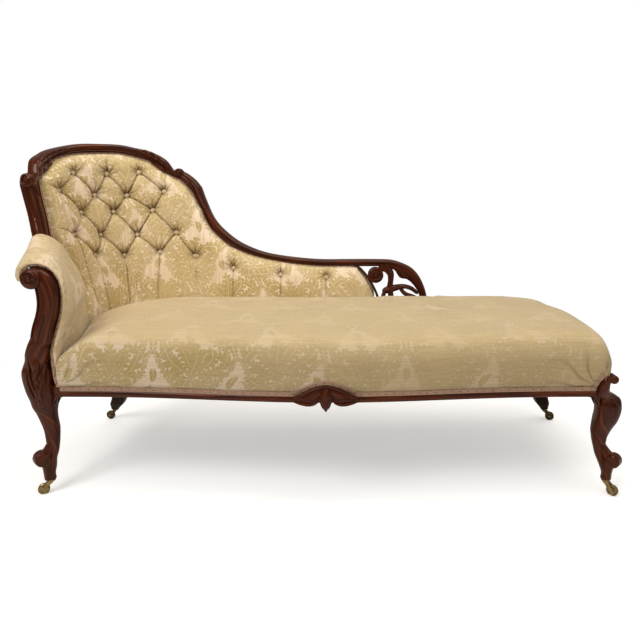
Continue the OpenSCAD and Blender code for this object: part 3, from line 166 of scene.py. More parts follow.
def wall(u, z, inset):
    """Point of the back at a run, a height and an inset from its outer face.

    The corner in plan is a superellipse, squarer at the seat than at the top, and the
    inset goes along its normal.
    """
    u, z, inset = np.broadcast_arrays(np.asarray(u, float), np.asarray(z, float), np.asarray(inset, float))
    n = mix(3.2, 2.0, np.clip((z - RAIL_TOP) / (BACK_Z - RAIL_TOP), 0, 1))
    r = CORNER_R + lean(z)
    a = np.clip(u / CORNER_RUN, 0, 1) * np.pi / 2
    c, s = np.clip(np.cos(a), 0, 1), np.clip(np.sin(a), 0, 1)
    nx, ny = c ** (2 - 2 / n), s ** (2 - 2 / n)
    m = np.hypot(nx, ny)
    x = CORNER_X - r * c ** (2 / n) + inset * nx / m + np.maximum(0, u - CORNER_RUN)
    y = CORNER_Y + r * s ** (2 / n) - inset * ny / m + np.minimum(0, u)
    return np.stack([x, y, z], -1)


def rise(share):
    """Height above the floor of a share of the back's height."""
    return RAIL_Z + np.asarray(share, float) * BACK_H


def spot(u_share, z_share, inset):
    """Point of the back from shares of its run and height."""
    return wall(np.asarray(u_share, float) * BACK_RUN, rise(z_share), inset)


def running(points):
    """Length along a line of points, from 0."""
    return np.concatenate([[0], np.cumsum(np.linalg.norm(np.diff(points, axis=0), axis=1))])


RUNS = np.linspace(-60, BACK_RUN + 60, 3000)
TRUE_RUNS = running(wall(RUNS, 700.0, 40.0))


def true_run(u):
    """Real length along the upholstery up to a run, at a middle height."""
    return np.interp(u, RUNS, TRUE_RUNS)


# Making meshes

def along_and_around(rings, count=None):
    """Distance from ring to ring, as a mean over their first points, and around each ring.

    Both have one more column than the rings, where each ring closes.
    """
    around = np.linalg.norm(np.roll(rings, -1, axis=1) - rings, axis=2)
    v = np.concatenate([np.zeros((len(rings), 1)), np.cumsum(around, axis=1)], axis=1)
    step = np.linalg.norm(np.diff(rings, axis=0), axis=2)[:, :count].mean(axis=1)
    along = np.concatenate([[0], np.cumsum(step)])
    return np.repeat(along[:, None], v.shape[1], axis=1), v


def six_volumes(a, b, c):
    """Six times the signed volume between triangles and the origin."""
    return np.einsum("ij,ij->", a, np.cross(b, c))


def loft(rings, cloth=None, fields=None, split=0):
    """Skin over rings of shape (stations, points, 3), as arrays ready for gather.

    Quads join ring to ring. Each end is closed by triangles to the ring's middle, or, with
    split, by a strip between its first points and the rest. UVs are the distance
    along and around in millimetres, or the cloth's own (along, around) arrays. All faces
    are turned over if the volume inside comes out negative.
    """
    s, n, _ = rings.shape
    verts = rings.reshape(-1, 3)
    i, j = np.arange(s - 1)[:, None] * n, np.arange(n)[None, :]
    k = (j + 1) % n
    quads = np.stack([i + j, i + n + j, i + n + k, i + k], -1).reshape(-1, 4)
    uv = np.stack(cloth or along_and_around(rings), -1)
    quad_uv = np.stack([uv[:-1, :-1], uv[1:, :-1], uv[1:, 1:], uv[:-1, 1:]], 2).reshape(-1, 4, 2)
    tris, tri_uv = [], []
    for end in (0, s - 1):
        base, ring_uv = end * n, uv[end, :-1]
        if split:
            steps = max(split, n - split)
            a = np.round(np.linspace(0, split - 1, steps)).astype(int)
            b = np.round(np.linspace(n - 1, split, steps)).astype(int)
            face = np.concatenate([np.stack([a[:-1], a[1:], b[1:]], -1),
                                   np.stack([a[:-1], b[1:], b[:-1]], -1)])
            face = face[(face != np.roll(face, 1, axis=1)).all(axis=1)]
            face_uv = ring_uv[face]
        else:
            verts = np.vstack([verts, rings[end].mean(axis=0)])
            face = np.stack([j[0], k[0], np.full(n, len(verts) - 1 - base)], -1)
            middle = np.repeat(ring_uv.mean(axis=0)[None], n, axis=0)
            face_uv = np.stack([ring_uv, np.roll(ring_uv, -1, axis=0), middle], 1)
        turn = -1 if end else 1
        tris.append((face + base)[:, ::turn])
        tri_uv.append(face_uv[:, ::turn])
    tris, tri_uv = np.concatenate(tris), np.concatenate(tri_uv)
    p, q = np.moveaxis(verts[quads], 1, 0), np.moveaxis(verts[tris], 1, 0)
    if six_volumes(p[0], p[1], p[2]) + six_volumes(p[0], p[2], p[3]) + six_volumes(*q) < 0:
        quads, quad_uv, tris, tri_uv = (array[:, ::-1] for array in (quads, quad_uv, tris, tri_uv))
    # The ends' middles carry 0 in every field
    held = {key: np.append(value, np.zeros(len(verts) - value.size))
            for key, value in (fields or {}).items()}
    return verts, quads, tris, quad_uv, tri_uv, held


def gather(parts):
    """Joins several skins into the arrays of one mesh."""
    verts, quads, tris, quad_uv, tri_uv, fields = zip(*parts)
    bases = np.cumsum([0] + [len(v) for v in verts[:-1]])
    shift = lambda faces: np.concatenate([f + base for f, base in zip(faces, bases)])
    joined = {key: np.concatenate([f[key] for f in fields]) for key in fields[0]}
    uv = np.concatenate([part.reshape(-1, 2) for part in quad_uv + tri_uv])
    return np.concatenate(verts), shift(quads), shift(tris), uv, joined


def piece(name, parts, finish, *nodes):
    """One object made of the given skins, riding on the couch and standing for the nodes.

    Vertices go in as millimetres on the couch's axes, faces as index arrays, with one UV
    per face corner and one value per vertex of each field.
    """
    verts, quads, tris, uv, fields = gather(parts)
    mesh = bpy.data.meshes.new(name)
    mesh.vertices.add(len(verts))
    mesh.vertices.foreach_set("co", ((verts + SHIFT) * MM).astype(np.float32).ravel())
    loops = np.concatenate([quads.ravel(), tris.ravel()]).astype(np.int32)
    mesh.loops.add(len(loops))
    mesh.loops.foreach_set("vertex_index", loops)
    starts = np.concatenate([np.arange(len(quads)) * 4, quads.size + np.arange(len(tris)) * 3])
    mesh.polygons.add(len(starts))
    mesh.polygons.foreach_set("loop_start", starts.astype(np.int32))
    mesh.polygons.foreach_set("use_smooth", np.ones(len(starts), bool))
    mesh.update(calc_edges=True)
    layer = mesh.uv_layers.new(name="UVMap")
    layer.data.foreach_set("uv", (uv * MM).astype(np.float32).ravel())
    for key, values in fields.items():
        held = mesh.attributes.new(key, "FLOAT", "POINT")
        held.data.foreach_set("value", values.astype(np.float32))
    mesh.set_sharp_from_angle(angle=math.radians(50))
    mesh.validate()
    mesh.materials.append(finish_of(finish))
    made = bpy.data.objects.new(name, mesh)
    bpy.context.scene.collection.objects.link(made)
    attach(made, COUCH)
    if nodes:
        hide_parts(*nodes)
    return made


def frames_along(path):
    """Unit tangents of a line of points in the plane, and their left-hand normals."""
    t = np.gradient(path, axis=0)
    t /= np.linalg.norm(t, axis=1)[:, None] + 1e-9
    return t, np.stack([-t[:, 1], t[:, 0]], -1)


def relief(path, width, height, surface, lobes=0, vein=0.0, blunt=0.45, count=44, across=17,
           hand=1, at=(0, 0)):
    """Carved leaf or ridge along a path on a surface; hand -1 mirrors it about its place.

    The half width follows the root of the length from the base and a blunt root towards
    the tip, waved by the lobes; the height is a dome across, cut by a vein.
    """
    c = spline(np.asarray(path, float) * (hand, 1) + at, count)
    _, side = frames_along(c)
    s = np.linspace(0.02, 0.98, count)[:, None]
    t = np.linspace(-1, 1, across)[None, :]
    taper = (s / 0.35).clip(0, 1) ** 0.5 * ((1 - s) / 0.65).clip(0, 1) ** blunt
    wave = 1 + (0.26 * (np.abs(np.sin(np.pi * lobes * s)) - 0.55) if lobes else 0)
    half = width / 2 * taper * wave
    dome = np.sqrt((1 - np.abs(t) ** 2.4).clip(0, 1))
    ribs = 1 + (0.12 * np.cos(np.pi * lobes * 2 * s + 5 * np.abs(t)) if lobes else 0)
    h = height * (0.35 + 0.65 * taper) * dome * (1 - vein * bell(t, 0.16)) * ribs
    a = c[:, :1] + side[:, :1] * half * t
    b = c[:, 1:] + side[:, 1:] * half * t
    low = surface(a[:, ::-1], b[:, ::-1], np.full_like(a, -SINK))
    return loft(np.concatenate([surface(a, b, h), low], axis=1), split=across)


def boss(centre, radius, height, surface, sides=28, dent=0.0):
    """Round boss on a surface: height times the root of one minus the radius squared,
    with an optional dent at the middle."""
    r = np.linspace(1, 0.04, 9)[:, None]
    a = np.linspace(0, 2 * np.pi, sides, endpoint=False)[None, :]
    h = height * np.sqrt(1 - r**2 * 0.999) - dent * bell(r, 0.35)
    x, y = centre[0] + radius * r * np.cos(a), centre[1] + radius * r * np.sin(a)
    skirt = surface(x[:1], y[:1], np.full_like(x[:1], -SINK))
    return loft(np.concatenate([skirt, surface(x, y, h + 0 * a)]))


def spiral(centre, start, end, turns, angle, hand, count=60):
    """Points of a spiral from one radius to another."""
    t = np.linspace(0, 1, count)
    r = start + (end - start) * t**0.8
    a = angle + hand * 2 * np.pi * turns * t
    return np.stack([centre[0] + r * np.cos(a), centre[1] + r * np.sin(a)], -1)


def scroll(surface, centre, turn, ridge, eye, count=80, dent=0.0):
    """Carved scroll: a ridge, given by width and height, along a spiral round an eye, given
    by radius and height."""
    return [relief(spiral(centre, *turn), *ridge, surface, count=count, blunt=0.25),
            boss(centre, *eye, surface, dent=dent)]


def on_back(inset):
    """Surface function of the back: run and height in millimetres, height of the relief."""
    return lambda u, z, h: wall(u, z, inset + h)


def turned_disc(centre, radius, width, edge, turn, sides=56):
    """Rounded disc like a scroll's end: a profile with rounded rims, spun about an axis
    that lies level at the given turn from the y axis. Its faces swell by a tenth of the
    width times one minus the radius squared."""
    a = np.linspace(0, np.pi / 2, 9)
    rim, face = radius - edge + edge * np.sin(a), edge - edge * np.cos(a)
    r = np.concatenate([[0.02], rim, rim[::-1], [0.02]])
    w = np.concatenate([[0], face, width - face[::-1], [width]]) - width / 2
    w += np.sign(w) * 0.10 * width * (1 - (r / radius) ** 2)
    g = np.linspace(0, 2 * np.pi, sides, endpoint=False)
    x, z = r[:, None] * np.cos(g), r[:, None] * np.sin(g)
    y = np.repeat(w[:, None], sides, axis=1)
    c, s = math.cos(turn), math.sin(turn)
    return loft(np.stack([centre[0] + c * x - s * y, centre[1] + s * x + c * y, centre[2] + z], -1))


# Tables of the show-wood, as the frame's source has them: outer and inner edge as shares

FOOT = (RAIL_TOP + 0.3 - RAIL_Z) / BACK_H
EDGE_SCALE = np.array([BACK_RUN, BACK_H, BACK_RUN, BACK_H])
STILE = [[-0.004, FOOT, 0.012, FOOT], [-0.004, 0.28, 0.015, 0.28], [-0.004, 0.45, 0.019, 0.45],
         [-0.004, 0.607, 0.021, 0.599], [0.000, 0.668, 0.026, 0.683], [0.000, 0.729, 0.028, 0.747],
         [0.000, 0.778, 0.031, 0.79], [0.001, 0.818, 0.034, 0.82], [0.010, 0.850, 0.041, 0.84],
         [0.028, 0.860, 0.047, 0.853]]
CREST = [[0.028, 0.860, 0.047, 0.853], [0.041, 0.910, 0.056, 0.872], [0.066, 0.940, 0.071, 0.897],
         [0.088, 0.960, 0.100, 0.925], [0.127, 0.982, 0.132, 0.943], [0.161, 0.996, 0.165, 0.950],
         [0.199, 1.000, 0.199, 0.954], [0.240, 1.000, 0.237, 0.954], [0.271, 0.988, 0.271, 0.939],
         [0.304, 0.971, 0.304, 0.915], [0.337, 0.932, 0.328, 0.878], [0.355, 0.881, 0.341, 0.860]]
SWEEP = [[0.355, 0.881, 0.341, 0.860], [0.371, 0.878, 0.355, 0.843], [0.386, 0.858, 0.368, 0.830],
         [0.401, 0.822, 0.384, 0.801], [0.417, 0.743, 0.397, 0.745], [0.438, 0.651, 0.415, 0.644],
         [0.460, 0.596, 0.437, 0.576], [0.501, 0.531, 0.480, 0.505], [0.544, 0.490, 0.528, 0.465],
         [0.586, 0.465, 0.575, 0.440], [0.650, 0.446, 0.645, 0.416], [0.719, 0.435, 0.719, 0.403],
         [0.799, 0.435, 0.799, 0.402], [0.865, 0.435, 0.862, 0.402], [0.907, 0.432, 0.892, 0.401],
         [0.934, 0.418, 0.915, 0.383], [0.961, 0.393, 0.930, 0.345], [0.978, 0.360, 0.950, 0.335],
         [0.991, 0.315, 0.969, 0.300], [1.000, 0.261, 0.982, 0.255], [1.004, 0.200, 0.986, 0.200],
         [1.004, FOOT, 0.986, FOOT]]
# End post and the bracket's strokes: run share, height share and width share; each stroke has
# its inner and outer depth, and how much fuller it is carved
POST = [[0.8235, 0.3965, 0.20], [0.832, 0.378, 0.24], [0.846, 0.345, 0.26], [0.860, 0.300, 0.26],
        [0.871, 0.250, 0.28], [0.876, 0.190, 0.30], [0.877, FOOT, 0.34]]
BRACKET = [([[0.874, 0.400, 0.60], [0.893, 0.394, 0.56], [0.905, 0.366, 0.44], [0.906, 0.330, 0.34],
             [0.904, 0.298, 0.36], [0.908, 0.240, 0.34], [0.916, 0.180, 0.36], [0.922, FOOT, 0.50]],
            6, 30, 1.75),
           ([[0.884, 0.274, 0.30], [0.900, 0.284, 0.52], [0.920, 0.294, 0.44], [0.942, 0.300, 0.32],
             [0.962, 0.288, 0.30], [0.9775, 0.264, 0.24]], 5, 29, 1.5),
           ([[0.892, 0.285, 0.26], [0.885, 0.240, 0.28], [0.886, 0.180, 0.30], [0.892, FOOT, 0.40]],
            7, 28, 1.6),
           ([[0.930, 0.292, 0.26], [0.945, 0.262, 0.28], [0.966, 0.248, 0.26], [0.983, 0.232, 0.22]],
            4, 27, 1.6)]
# Section across the show-wood: place from the outer edge, and depth over the frame's
SECTION = [(0, 0), (0, 0.25), (0, 0.48), (0.012, 0.64), (0.045, 0.80), (0.10, 0.91), (0.18, 0.975),
           (0.28, 1.01), (0.40, 1.0), (0.50, 0.97), (0.575, 0.925), (0.61, 0.885), (0.63, 0.90),
           (0.655, 0.945), (0.69, 0.965), (0.73, 0.95), (0.76, 0.90), (0.775, 0.82), (0.785, 0.72),
           (0.80, 0.68), (0.90, 0.68), (1, 0.68), (1, 0.34), (1, 0)]


def moulded(stations):
    """Show-wood member: a moulded section carried along the stations on the back, in steps
    of 4 mm."""
    st = np.asarray(stations, float)
    mid = spot((st[:, 0] + st[:, 2]) / 2, (st[:, 1] + st[:, 3]) / 2, 20)
    s = spline(st * EDGE_SCALE, int(running(mid)[-1] / 4.0)) / EDGE_SCALE
    across, depth = np.array(SECTION).T[:, None, :]
    a = spot(s[:, :1], s[:, 1:2], depth * FRAME_D)
    b = spot(s[:, 2:3], s[:, 3:4], depth * FRAME_D)
    return loft(mix(a, b, across[..., None]))


def wall_stroke(points, inside, outside, fuller=1.0):
    """Free stroke on the back with an oval section and eased ends: points of [run share,
    height share, width share of the frame's depth], the width times the factor fuller."""
    p = np.asarray(points, float) * [BACK_RUN, BACK_H, FRAME_D * fuller]
    p = spline(p, max(24, int(running(p[:, :2])[-1] / 3)))
    _, side = frames_along(p[:, :2])
    a = np.linspace(0, 2 * np.pi, 24, endpoint=False)[None, :]
    power = lambda v: np.sign(v) * np.abs(v) ** 0.8
    ends = np.ones((len(p), 1))
    ends[:3, 0], ends[-3:, 0] = [0.55, 0.8, 0.94], [0.94, 0.8, 0.55]
    across = power(np.cos(a)) * p[:, 2:3] / 2 * ends
    deep = (inside + outside) / 2 + power(np.sin(a)) * (outside - inside) / 2 * ends
    return loft(wall(p[:, :1] + side[:, :1] * across, RAIL_Z + p[:, 1:2] + side[:, 1:2] * across, deep))


# Legs: stations of [height share, middle share, half width share]

HEAD_LEG = [[0.000, 0.130, 0.138], [0.068, 0.134, 0.127], [0.130, 0.158, 0.136], [0.184, 0.163, 0.150],
            [0.235, 0.175, 0.150], [0.313, 0.220, 0.160], [0.390, 0.242, 0.172], [0.449, 0.250, 0.184],
            [0.585, 0.268, 0.196], [0.720, 0.246, 0.204], [0.798, 0.220, 0.240], [0.872, 0.190, 0.310],
            [0.953, 0.173, 0.359], [1.043, 0.152, 0.399], [1.128, 0.138, 0.401], [1.210, 0.128, 0.395],
            [1.283, 0.112, 0.370], [1.340, 0.098, 0.320]]
NECK = [[1.42, -0.18, 0.50, -0.27, 0.26], [1.50, -0.13, 0.53, -0.30, 0.16], [1.60, -0.02, 0.60, -0.31, 0.13]]
FACING = [[0.09, 0.695, 0.68, 0.67], [0.20, 0.742, 0.80, 0.735], [0.34, 0.79, 0.94, 0.785],
          [0.41, 0.828, 1.01, 0.83], [0.415, 0.86, 1.025, 0.875], [0.38, 0.888, 0.98, 0.917],
          [0.33, 0.902, 0.83, 0.950], [0.26, 0.918, 0.57, 0.970], [0.22, 0.925, 0.32, 0.974]]
FACE_FRONT, FACE_BACK = -28.0, 12.0
FOOT_LEG = [[0, 0.130, 0.138], [0.068, 0.134, 0.127], [0.130, 0.163, 0.147], [0.184, 0.201, 0.160],
            [0.235, 0.250, 0.165], [0.2816, 0.288, 0.168], [0.3437, 0.323, 0.170],
            [0.410, 0.358, 0.178], [0.487, 0.389, 0.184], [0.5456, 0.400, 0.197],
            [0.592, 0.392, 0.207], [0.693, 0.327, 0.268], [0.798, 0.250, 0.325], [0.883, 0.235, 0.352],
            [0.957, 0.250, 0.338]]
FOOT_TOP = [[1.008, 0.10, 0.765, -0.14, 0.49], [1.06, 0.34, 0.765, -0.22, 0.49],
            [1.12, 0.38, 0.76, -0.27, 0.49], [1.17, 0.38, 0.73, -0.28, 0.48],
            [1.21, 0.30, 0.68, -0.28, 0.44], [1.25, 0.32, 0.62, -0.22, 0.36]]


def leg_z(share):
    """Height of a leg station."""
    return FOOT_Z + np.asarray(share, float) * (RAIL_Z - FOOT_Z)


def squircle(sides, power=3.2):
    """Unit outline between a circle and a square."""
    a = 2 * np.pi * (np.arange(sides) + 0.5) / sides
    c, s = np.cos(a), np.sin(a)
    return np.stack([np.sign(c) * np.abs(c) ** (2 / power), np.sign(s) * np.abs(s) ** (2 / power)], -1)


def corner_boxes(table, x, side):
    """Left, right, front, back and height of each corner station."""
    t = np.asarray(table, float)
    m, d, w = x + side * t[:, 1] * LEG_W, t[:, 1] * LEG_W, t[:, 2] * LEG_W
    return np.stack([m - w, m + w, d - w, d + w, leg_z(t[:, 0])], -1)


def block_boxes(table, x, side):
    """The same for the block above a leg: rows of height, near, far, front and back shares."""
    high, *shares = np.array(table).T
    near, far = x + side * LEG_W * shares[0], x + side * LEG_W * shares[1]
    y = (LEG_W * shares[2], LEG_W * shares[3])
    return np.stack([np.minimum(near, far), np.maximum(near, far), *y, leg_z(high)], -1)


def box_rings(boxes, sides=48, power=3.2):
    """Rounded square rings from rows of left, right, front, back and height."""
    q = squircle(sides, power)
    b = boxes[:, None, :]
    x = (b[..., 0] + b[..., 1]) / 2 + q[None, :, 0] * (b[..., 1] - b[..., 0]) / 2
    y = (b[..., 2] + b[..., 3]) / 2 + q[None, :, 1] * (b[..., 3] - b[..., 2]) / 2
    return np.stack([x, y, np.repeat(b[..., 4], sides, axis=1)], -1)


def facing_rings(sides=48):
    """Rings of the facing, which tilt as it curls over towards its volute."""
    q = squircle(sides)
    f = np.asarray(FACING)[:, None, :]
    t = 0.5 + q[None, :, 0] / 2
    x = HEAD_X + LEG_W * mix(f[..., 0], f[..., 2], t)
    return np.stack([x, mix(FACE_FRONT, FACE_BACK, 0.5 + q[None, :, 1] / 2) + 0 * x,
                     ARM_Z * mix(f[..., 1], f[..., 3], t)], -1)


# Damask: the repeat is built from leaves, each a curved spine with lobes on both sides

def leaf_strokes(base, tip, bend, width, lobes):
    """Tapered strokes of one scalloped leaf: rows of x0, y0, x1, y1, r0, r1.

    The spine is a parabola bent sideways; each lobe leaves it at a slant and shrinks
    towards the tip.
    """
    base, tip = np.array(base, float), np.array(tip, float)
    t = np.linspace(0, 1, lobes + 2)[:, None]
    along = tip - base
    across = np.array([-along[1], along[0]]) / (np.linalg.norm(along) + 1e-9)
    line = base + along * t + across * bend * 4 * t * (1 - t)
    size = width * (0.35 + 0.65 * np.sin(np.pi * np.clip(t * 0.85 + 0.12, 0, 1)))
    rows = [np.concatenate([line[:-1], line[1:], size[:-1] * 0.42, size[1:] * 0.42], axis=1)]
    d, n = frames_along(line)
    for side in (1, -1):
        out = (d * 0.55 + n * side * 0.85) * size * 0.95
        lobe = [line[:-1], (line + out)[:-1], size[:-1] * 0.34, size[:-1] * 0.30]
        rows.append(np.concatenate(lobe, axis=1))
    return np.concatenate(rows), line


def damask_motif():
    """One repeat of the damask, 230 by 300 mm, right half: leaf strokes and vein lines."""
    leaves = [((0, -40), (0, 96), 0, 21, 7), ((4, 0), (52, 84), -9, 16, 6), ((6, -18), (84, 52), -13, 16, 7),
              ((4, -38), (92, 2), -12, 15, 6), ((0, -58), (66, -46), -9, 12, 5),
              ((0, -96), (0, -50), 0, 13, 4),
              ((18, -132), (70, -84), 15, 15, 5), ((70, -84), (98, -118), 9, 12, 4),
              ((16, -130), (56, -150), -7, 11, 4),
              ((92, 62), (110, 118), 9, 14, 5), ((104, 30), (113, 76), -5, 9, 3),
              ((46, 108), (88, 140), 9, 12, 4),
              ((0, 112), (0, 148), 0, 11, 4), ((20, 128), (44, 118), 5, 7, 2)]
    strokes, lines = [], []
    for leaf in leaves:
        s, line = leaf_strokes(*leaf)
        strokes.append(s)
        lines.append(np.concatenate([line[:-1], line[1:]], axis=1))
    return np.concatenate(strokes), np.concatenate(lines)


MOTIF = damask_motif()


def to_segment(x, y, x0, y0, x1, y1):
    """Distance to a segment, and how far along it the nearest point is."""
    dx, dy = x1 - x0, y1 - y0
    t = np.clip(((x - x0) * dx + (y - y0) * dy) / (dx * dx + dy * dy + 1e-9), 0, 1)
    return np.hypot(x - x0 - t * dx, y - y0 - t * dy), t


def damask(x, y, wide=230.0, high=300.0):
    """Signed distance in millimetres to the edge of the damask's leaves, positive inside.

    The repeat is mirrored about its own middle and drops by half to the next column, the
    whole is bent by slow sine waves, as pulled cloth is, and veins are cut out of the leaves.
    """
    bent = x + 15 * np.sin(y / 43 + 0.4) + 6 * np.sin(y / 19 + x / 57)
    x, y = bent, y + 13 * np.sin(x / 51) + 5 * np.sin(x / 23 + 1)
    best = np.full(x.shape, -99.0)
    vein = np.full(x.shape, 99.0)
    for drop in (0.0, 0.5):
        px = np.abs((x + drop * wide) % wide - wide / 2)
        py = (y + drop * high) % high - high / 2
        for row in MOTIF[0]:
            near = (np.abs(px - (row[0] + row[2]) / 2) < 62) & (np.abs(py - (row[1] + row[3]) / 2) < 62)
            if near.any():
                d, t = to_segment(px[near], py[near], *row[:4])
                best[near] = np.maximum(best[near], mix(row[4], row[5], t) - d)
        for row in MOTIF[1]:
            near = (np.abs(px - (row[0] + row[2]) / 2) < 40) & (np.abs(py - (row[1] + row[3]) / 2) < 40)
            if near.any():
                vein[near] = np.minimum(vein[near], to_segment(px[near], py[near], *row)[0])
    return np.minimum(best, vein - 0.9)


def wander(x, y, size, seed):
    """Slow unevenness between -1 and 1: a sum of sine waves at odd angles."""
    rng = np.random.default_rng(seed)
    out = 0
    for _ in range(7):
        a, k, p = rng.uniform(0, np.pi), rng.uniform(0.6, 1.7) * 2 * np.pi / size, rng.uniform(0, 6.3)
        out = out + np.sin(k * (x * np.cos(a) + y * np.sin(a)) + p)
    return out / 7


# Upholstery of the back

BUTTONS = [(0.119, 0.863), (0.203, 0.860), (0.279, 0.868), (0.066, 0.787), (0.165, 0.762),
           (0.250, 0.758), (0.339, 0.776), (0.116, 0.686), (0.212, 0.682), (0.315, 0.685),
           (0.074, 0.590), (0.163, 0.576), (0.276, 0.567), (0.371, 0.574), (0.132, 0.487),
           (0.234, 0.471), (0.337, 0.478), (0.404, 0.457), (0.494, 0.396), (0.617, 0.364),
           (0.736, 0.351)]
PLEATS = [(0, 3), (0, 4), (1, 4), (1, 5), (2, 5), (2, 6), (3, 7), (4, 7), (4, 8), (5, 8), (5, 9),
          (6, 9), (7, 10), (7, 11), (8, 11), (8, 12), (9, 12), (9, 13), (10, 14), (11, 14), (11, 15),
          (12, 15), (12, 16), (13, 16), (13, 17)]
# Pleats that run from a button to the frame or down to the seat
EDGE_PLEATS = [(1, (0.206, 1.0)), (2, (0.286, 1.0)), (3, (0.022, 0.83)), (10, (0.018, 0.64)),
               (18, (0.498, 0.52)), (19, (0.619, 0.45)), (20, (0.738, 0.43)), (10, (0.088, 0.10)),
               (14, (0.136, 0.10)), (15, (0.237, 0.10)), (16, (0.334, 0.10)), (17, (0.410, 0.10)),
               (18, (0.497, 0.10)), (19, (0.619, 0.10)), (20, (0.737, 0.10))]
TOP_EDGE = [(c[2], c[3]) for c in CREST] + [(c[2], c[3]) for c in SWEEP[1:13]] + [(0.822, 0.395)]
LEFT_EDGE = [(0.10, 0.024), (0.18, 0.027), (0.237, 0.030), (0.294, 0.036), (0.347, 0.050),
             (0.418, 0.046), (0.504, 0.031), (0.567, 0.022), (0.599, 0.0215), (0.683, 0.026),
             (0.747, 0.028), (0.820, 0.034), (0.840, 0.041), (0.853, 0.047)]
RIGHT_EDGE = [(0.10, 0.866), (0.190, 0.866), (0.250, 0.861), (0.300, 0.850), (0.345, 0.836),
              (0.378, 0.822), (0.399, 0.815)]
PAD_LEFT, PAD_RIGHT, PAD_FOOT = 0.021, 0.815, 0.165
BUTTON_R, BUTTON_SEAT = 7.9, 38.8


def back_grid(columns, rows):
    """Run and height of the upholstery's grid, and how far each point is below its top.

    Columns follow the seam with the arm and the stile's edge on the left and the end
    post on the right, blending to straight between; rows are even from foot to frame.
    """
    a = np.linspace(PAD_LEFT, PAD_RIGHT, columns)[:, None]
    t = np.linspace(0, 1, rows)[None, :] ** 0.97
    top_u, top_z = np.array(TOP_EDGE).T

    def place(zs):
        """Run of each column at the given heights."""
        left = (look(LEFT_EDGE, zs) - PAD_LEFT) * np.clip(1 - (a - PAD_LEFT) / 0.12, 0, 1)
        right = (look(RIGHT_EDGE, zs) - PAD_RIGHT) * np.clip((a - PAD_RIGHT) / 0.12 + 1, 0, 1)
        return a + left + right

    top = np.full_like(a, 0.853)
    for _ in range(12):
        top = mix(top, np.interp(place(top), top_u, top_z) - 0.0012, 0.7)
    zs = mix(PAD_FOOT, top, t)
    return place(zs) * BACK_RUN, rise(zs), (top - zs) * BACK_H


def on_cloth(place):
    """Place on the flattened back, from shares of its run and height."""
    return float(true_run(place[0] * BACK_RUN)), float(rise(place[1]))


def segments_of_pleats():
    """Pleats as segments on the flattened back, and whether the second end is free."""
    rows = [(*on_cloth(BUTTONS[i]), *on_cloth(BUTTONS[k]), False) for i, k in PLEATS]
    return rows + [(*on_cloth(BUTTONS[i]), *on_cloth(e), True) for i, e in EDGE_PLEATS]


def back_inset(u, z, over, left, right):
    """Inset of the buttoned surface, and how far each point lies in a crease.

    A dome rises from the edges; between the pleats the stuffing swells with the root of
    the distance to them; each pleat is a narrow fold; each button draws in a deep pit
    with a fan of gathers.
    """
    sizes = bpy.context.scene.couch_sizes
    s = true_run(u)
    fold, puff, near = (np.full(s.shape, 999.0) for _ in range(3))
    for x0, z0, x1, z1, free in segments_of_pleats():
        d, t = to_segment(s, z, x0, z0, x1, z1)
        fold = np.minimum(fold, d + (0.8 + 1.4 * t if free else 0.5 * np.sin(np.pi * t)))
        puff = np.minimum(puff, d + (9 * t if free else 0))
    pull, gathers, lines, tuft = (np.zeros(s.shape) for _ in range(4))
    for i, (bx, bz) in enumerate(map(on_cloth, BUTTONS)):
        d = np.hypot(s - bx, z - bz)
        near = np.minimum(near, d)
        angle = np.arctan2(z - bz, s - bx)
        up = 0.30 + 0.70 * np.clip(np.sin(angle + 0.25 * np.sin(3.1 * i)), 0, 1)
        crest = np.abs(np.sin(5.0 * angle + 1.9 * i + 0.5 * np.sin(d / 9 + i))) ** 0.6
        reach = smooth((d - 8) / 6) * np.exp(-(d / (19 + 17 * up)) ** 2.2)
        gathers += (crest - 0.75) * up * reach
        lines = np.maximum(lines, np.clip(1 - crest * 1.35, 0, 1) ** 0.8 * up * reach)
        # Painted shade in a soft patch just above each button
        tuft = np.maximum(tuft, np.clip(np.sin(angle), 0, 1) * bell(d - 13, 11))
        pull = np.maximum(pull, 0.60 * bell(d, 14) + 0.40 * bell(d, 30))
    ramp = lambda d: np.sqrt(1 - (1 - np.clip((d - 3.0) / 58, 0, 1)) ** 2)
    edge = np.minimum(ramp(over), np.minimum(ramp(left), ramp(right)))
    raised = 4.2 * (np.sqrt(np.clip(puff / 46, 0, 1)) - 1) + 2.4 + 5.0 * gathers
    raised -= (sizes.pleat_depth * np.exp(-(fold / 2.9) ** 1.2) + sizes.button_pull * pull) / MM
    raised += 0.9 * wander(s, z, 90, 5) + 0.5 * wander(s, z, 31, 8)
    crown = PAD_IN + (PAD_D - PAD_IN) * (0.12 + 0.88 * edge) + edge * raised
    # Painted shade: dark in the pleats, along the gathers' lines, above and round each button
    painted_shade = (0.50 * np.exp(-(fold / 1.4) ** 1.5) + 1.25 * lines + 0.34 * tuft
              + 0.30 * bell(near - 8, 5) + 0.10 * np.exp(-fold / 9))
    return np.maximum(crown, PAD_IN + 1.5), edge * painted_shade


# Arm tables: the outline at the front and where it meets the back

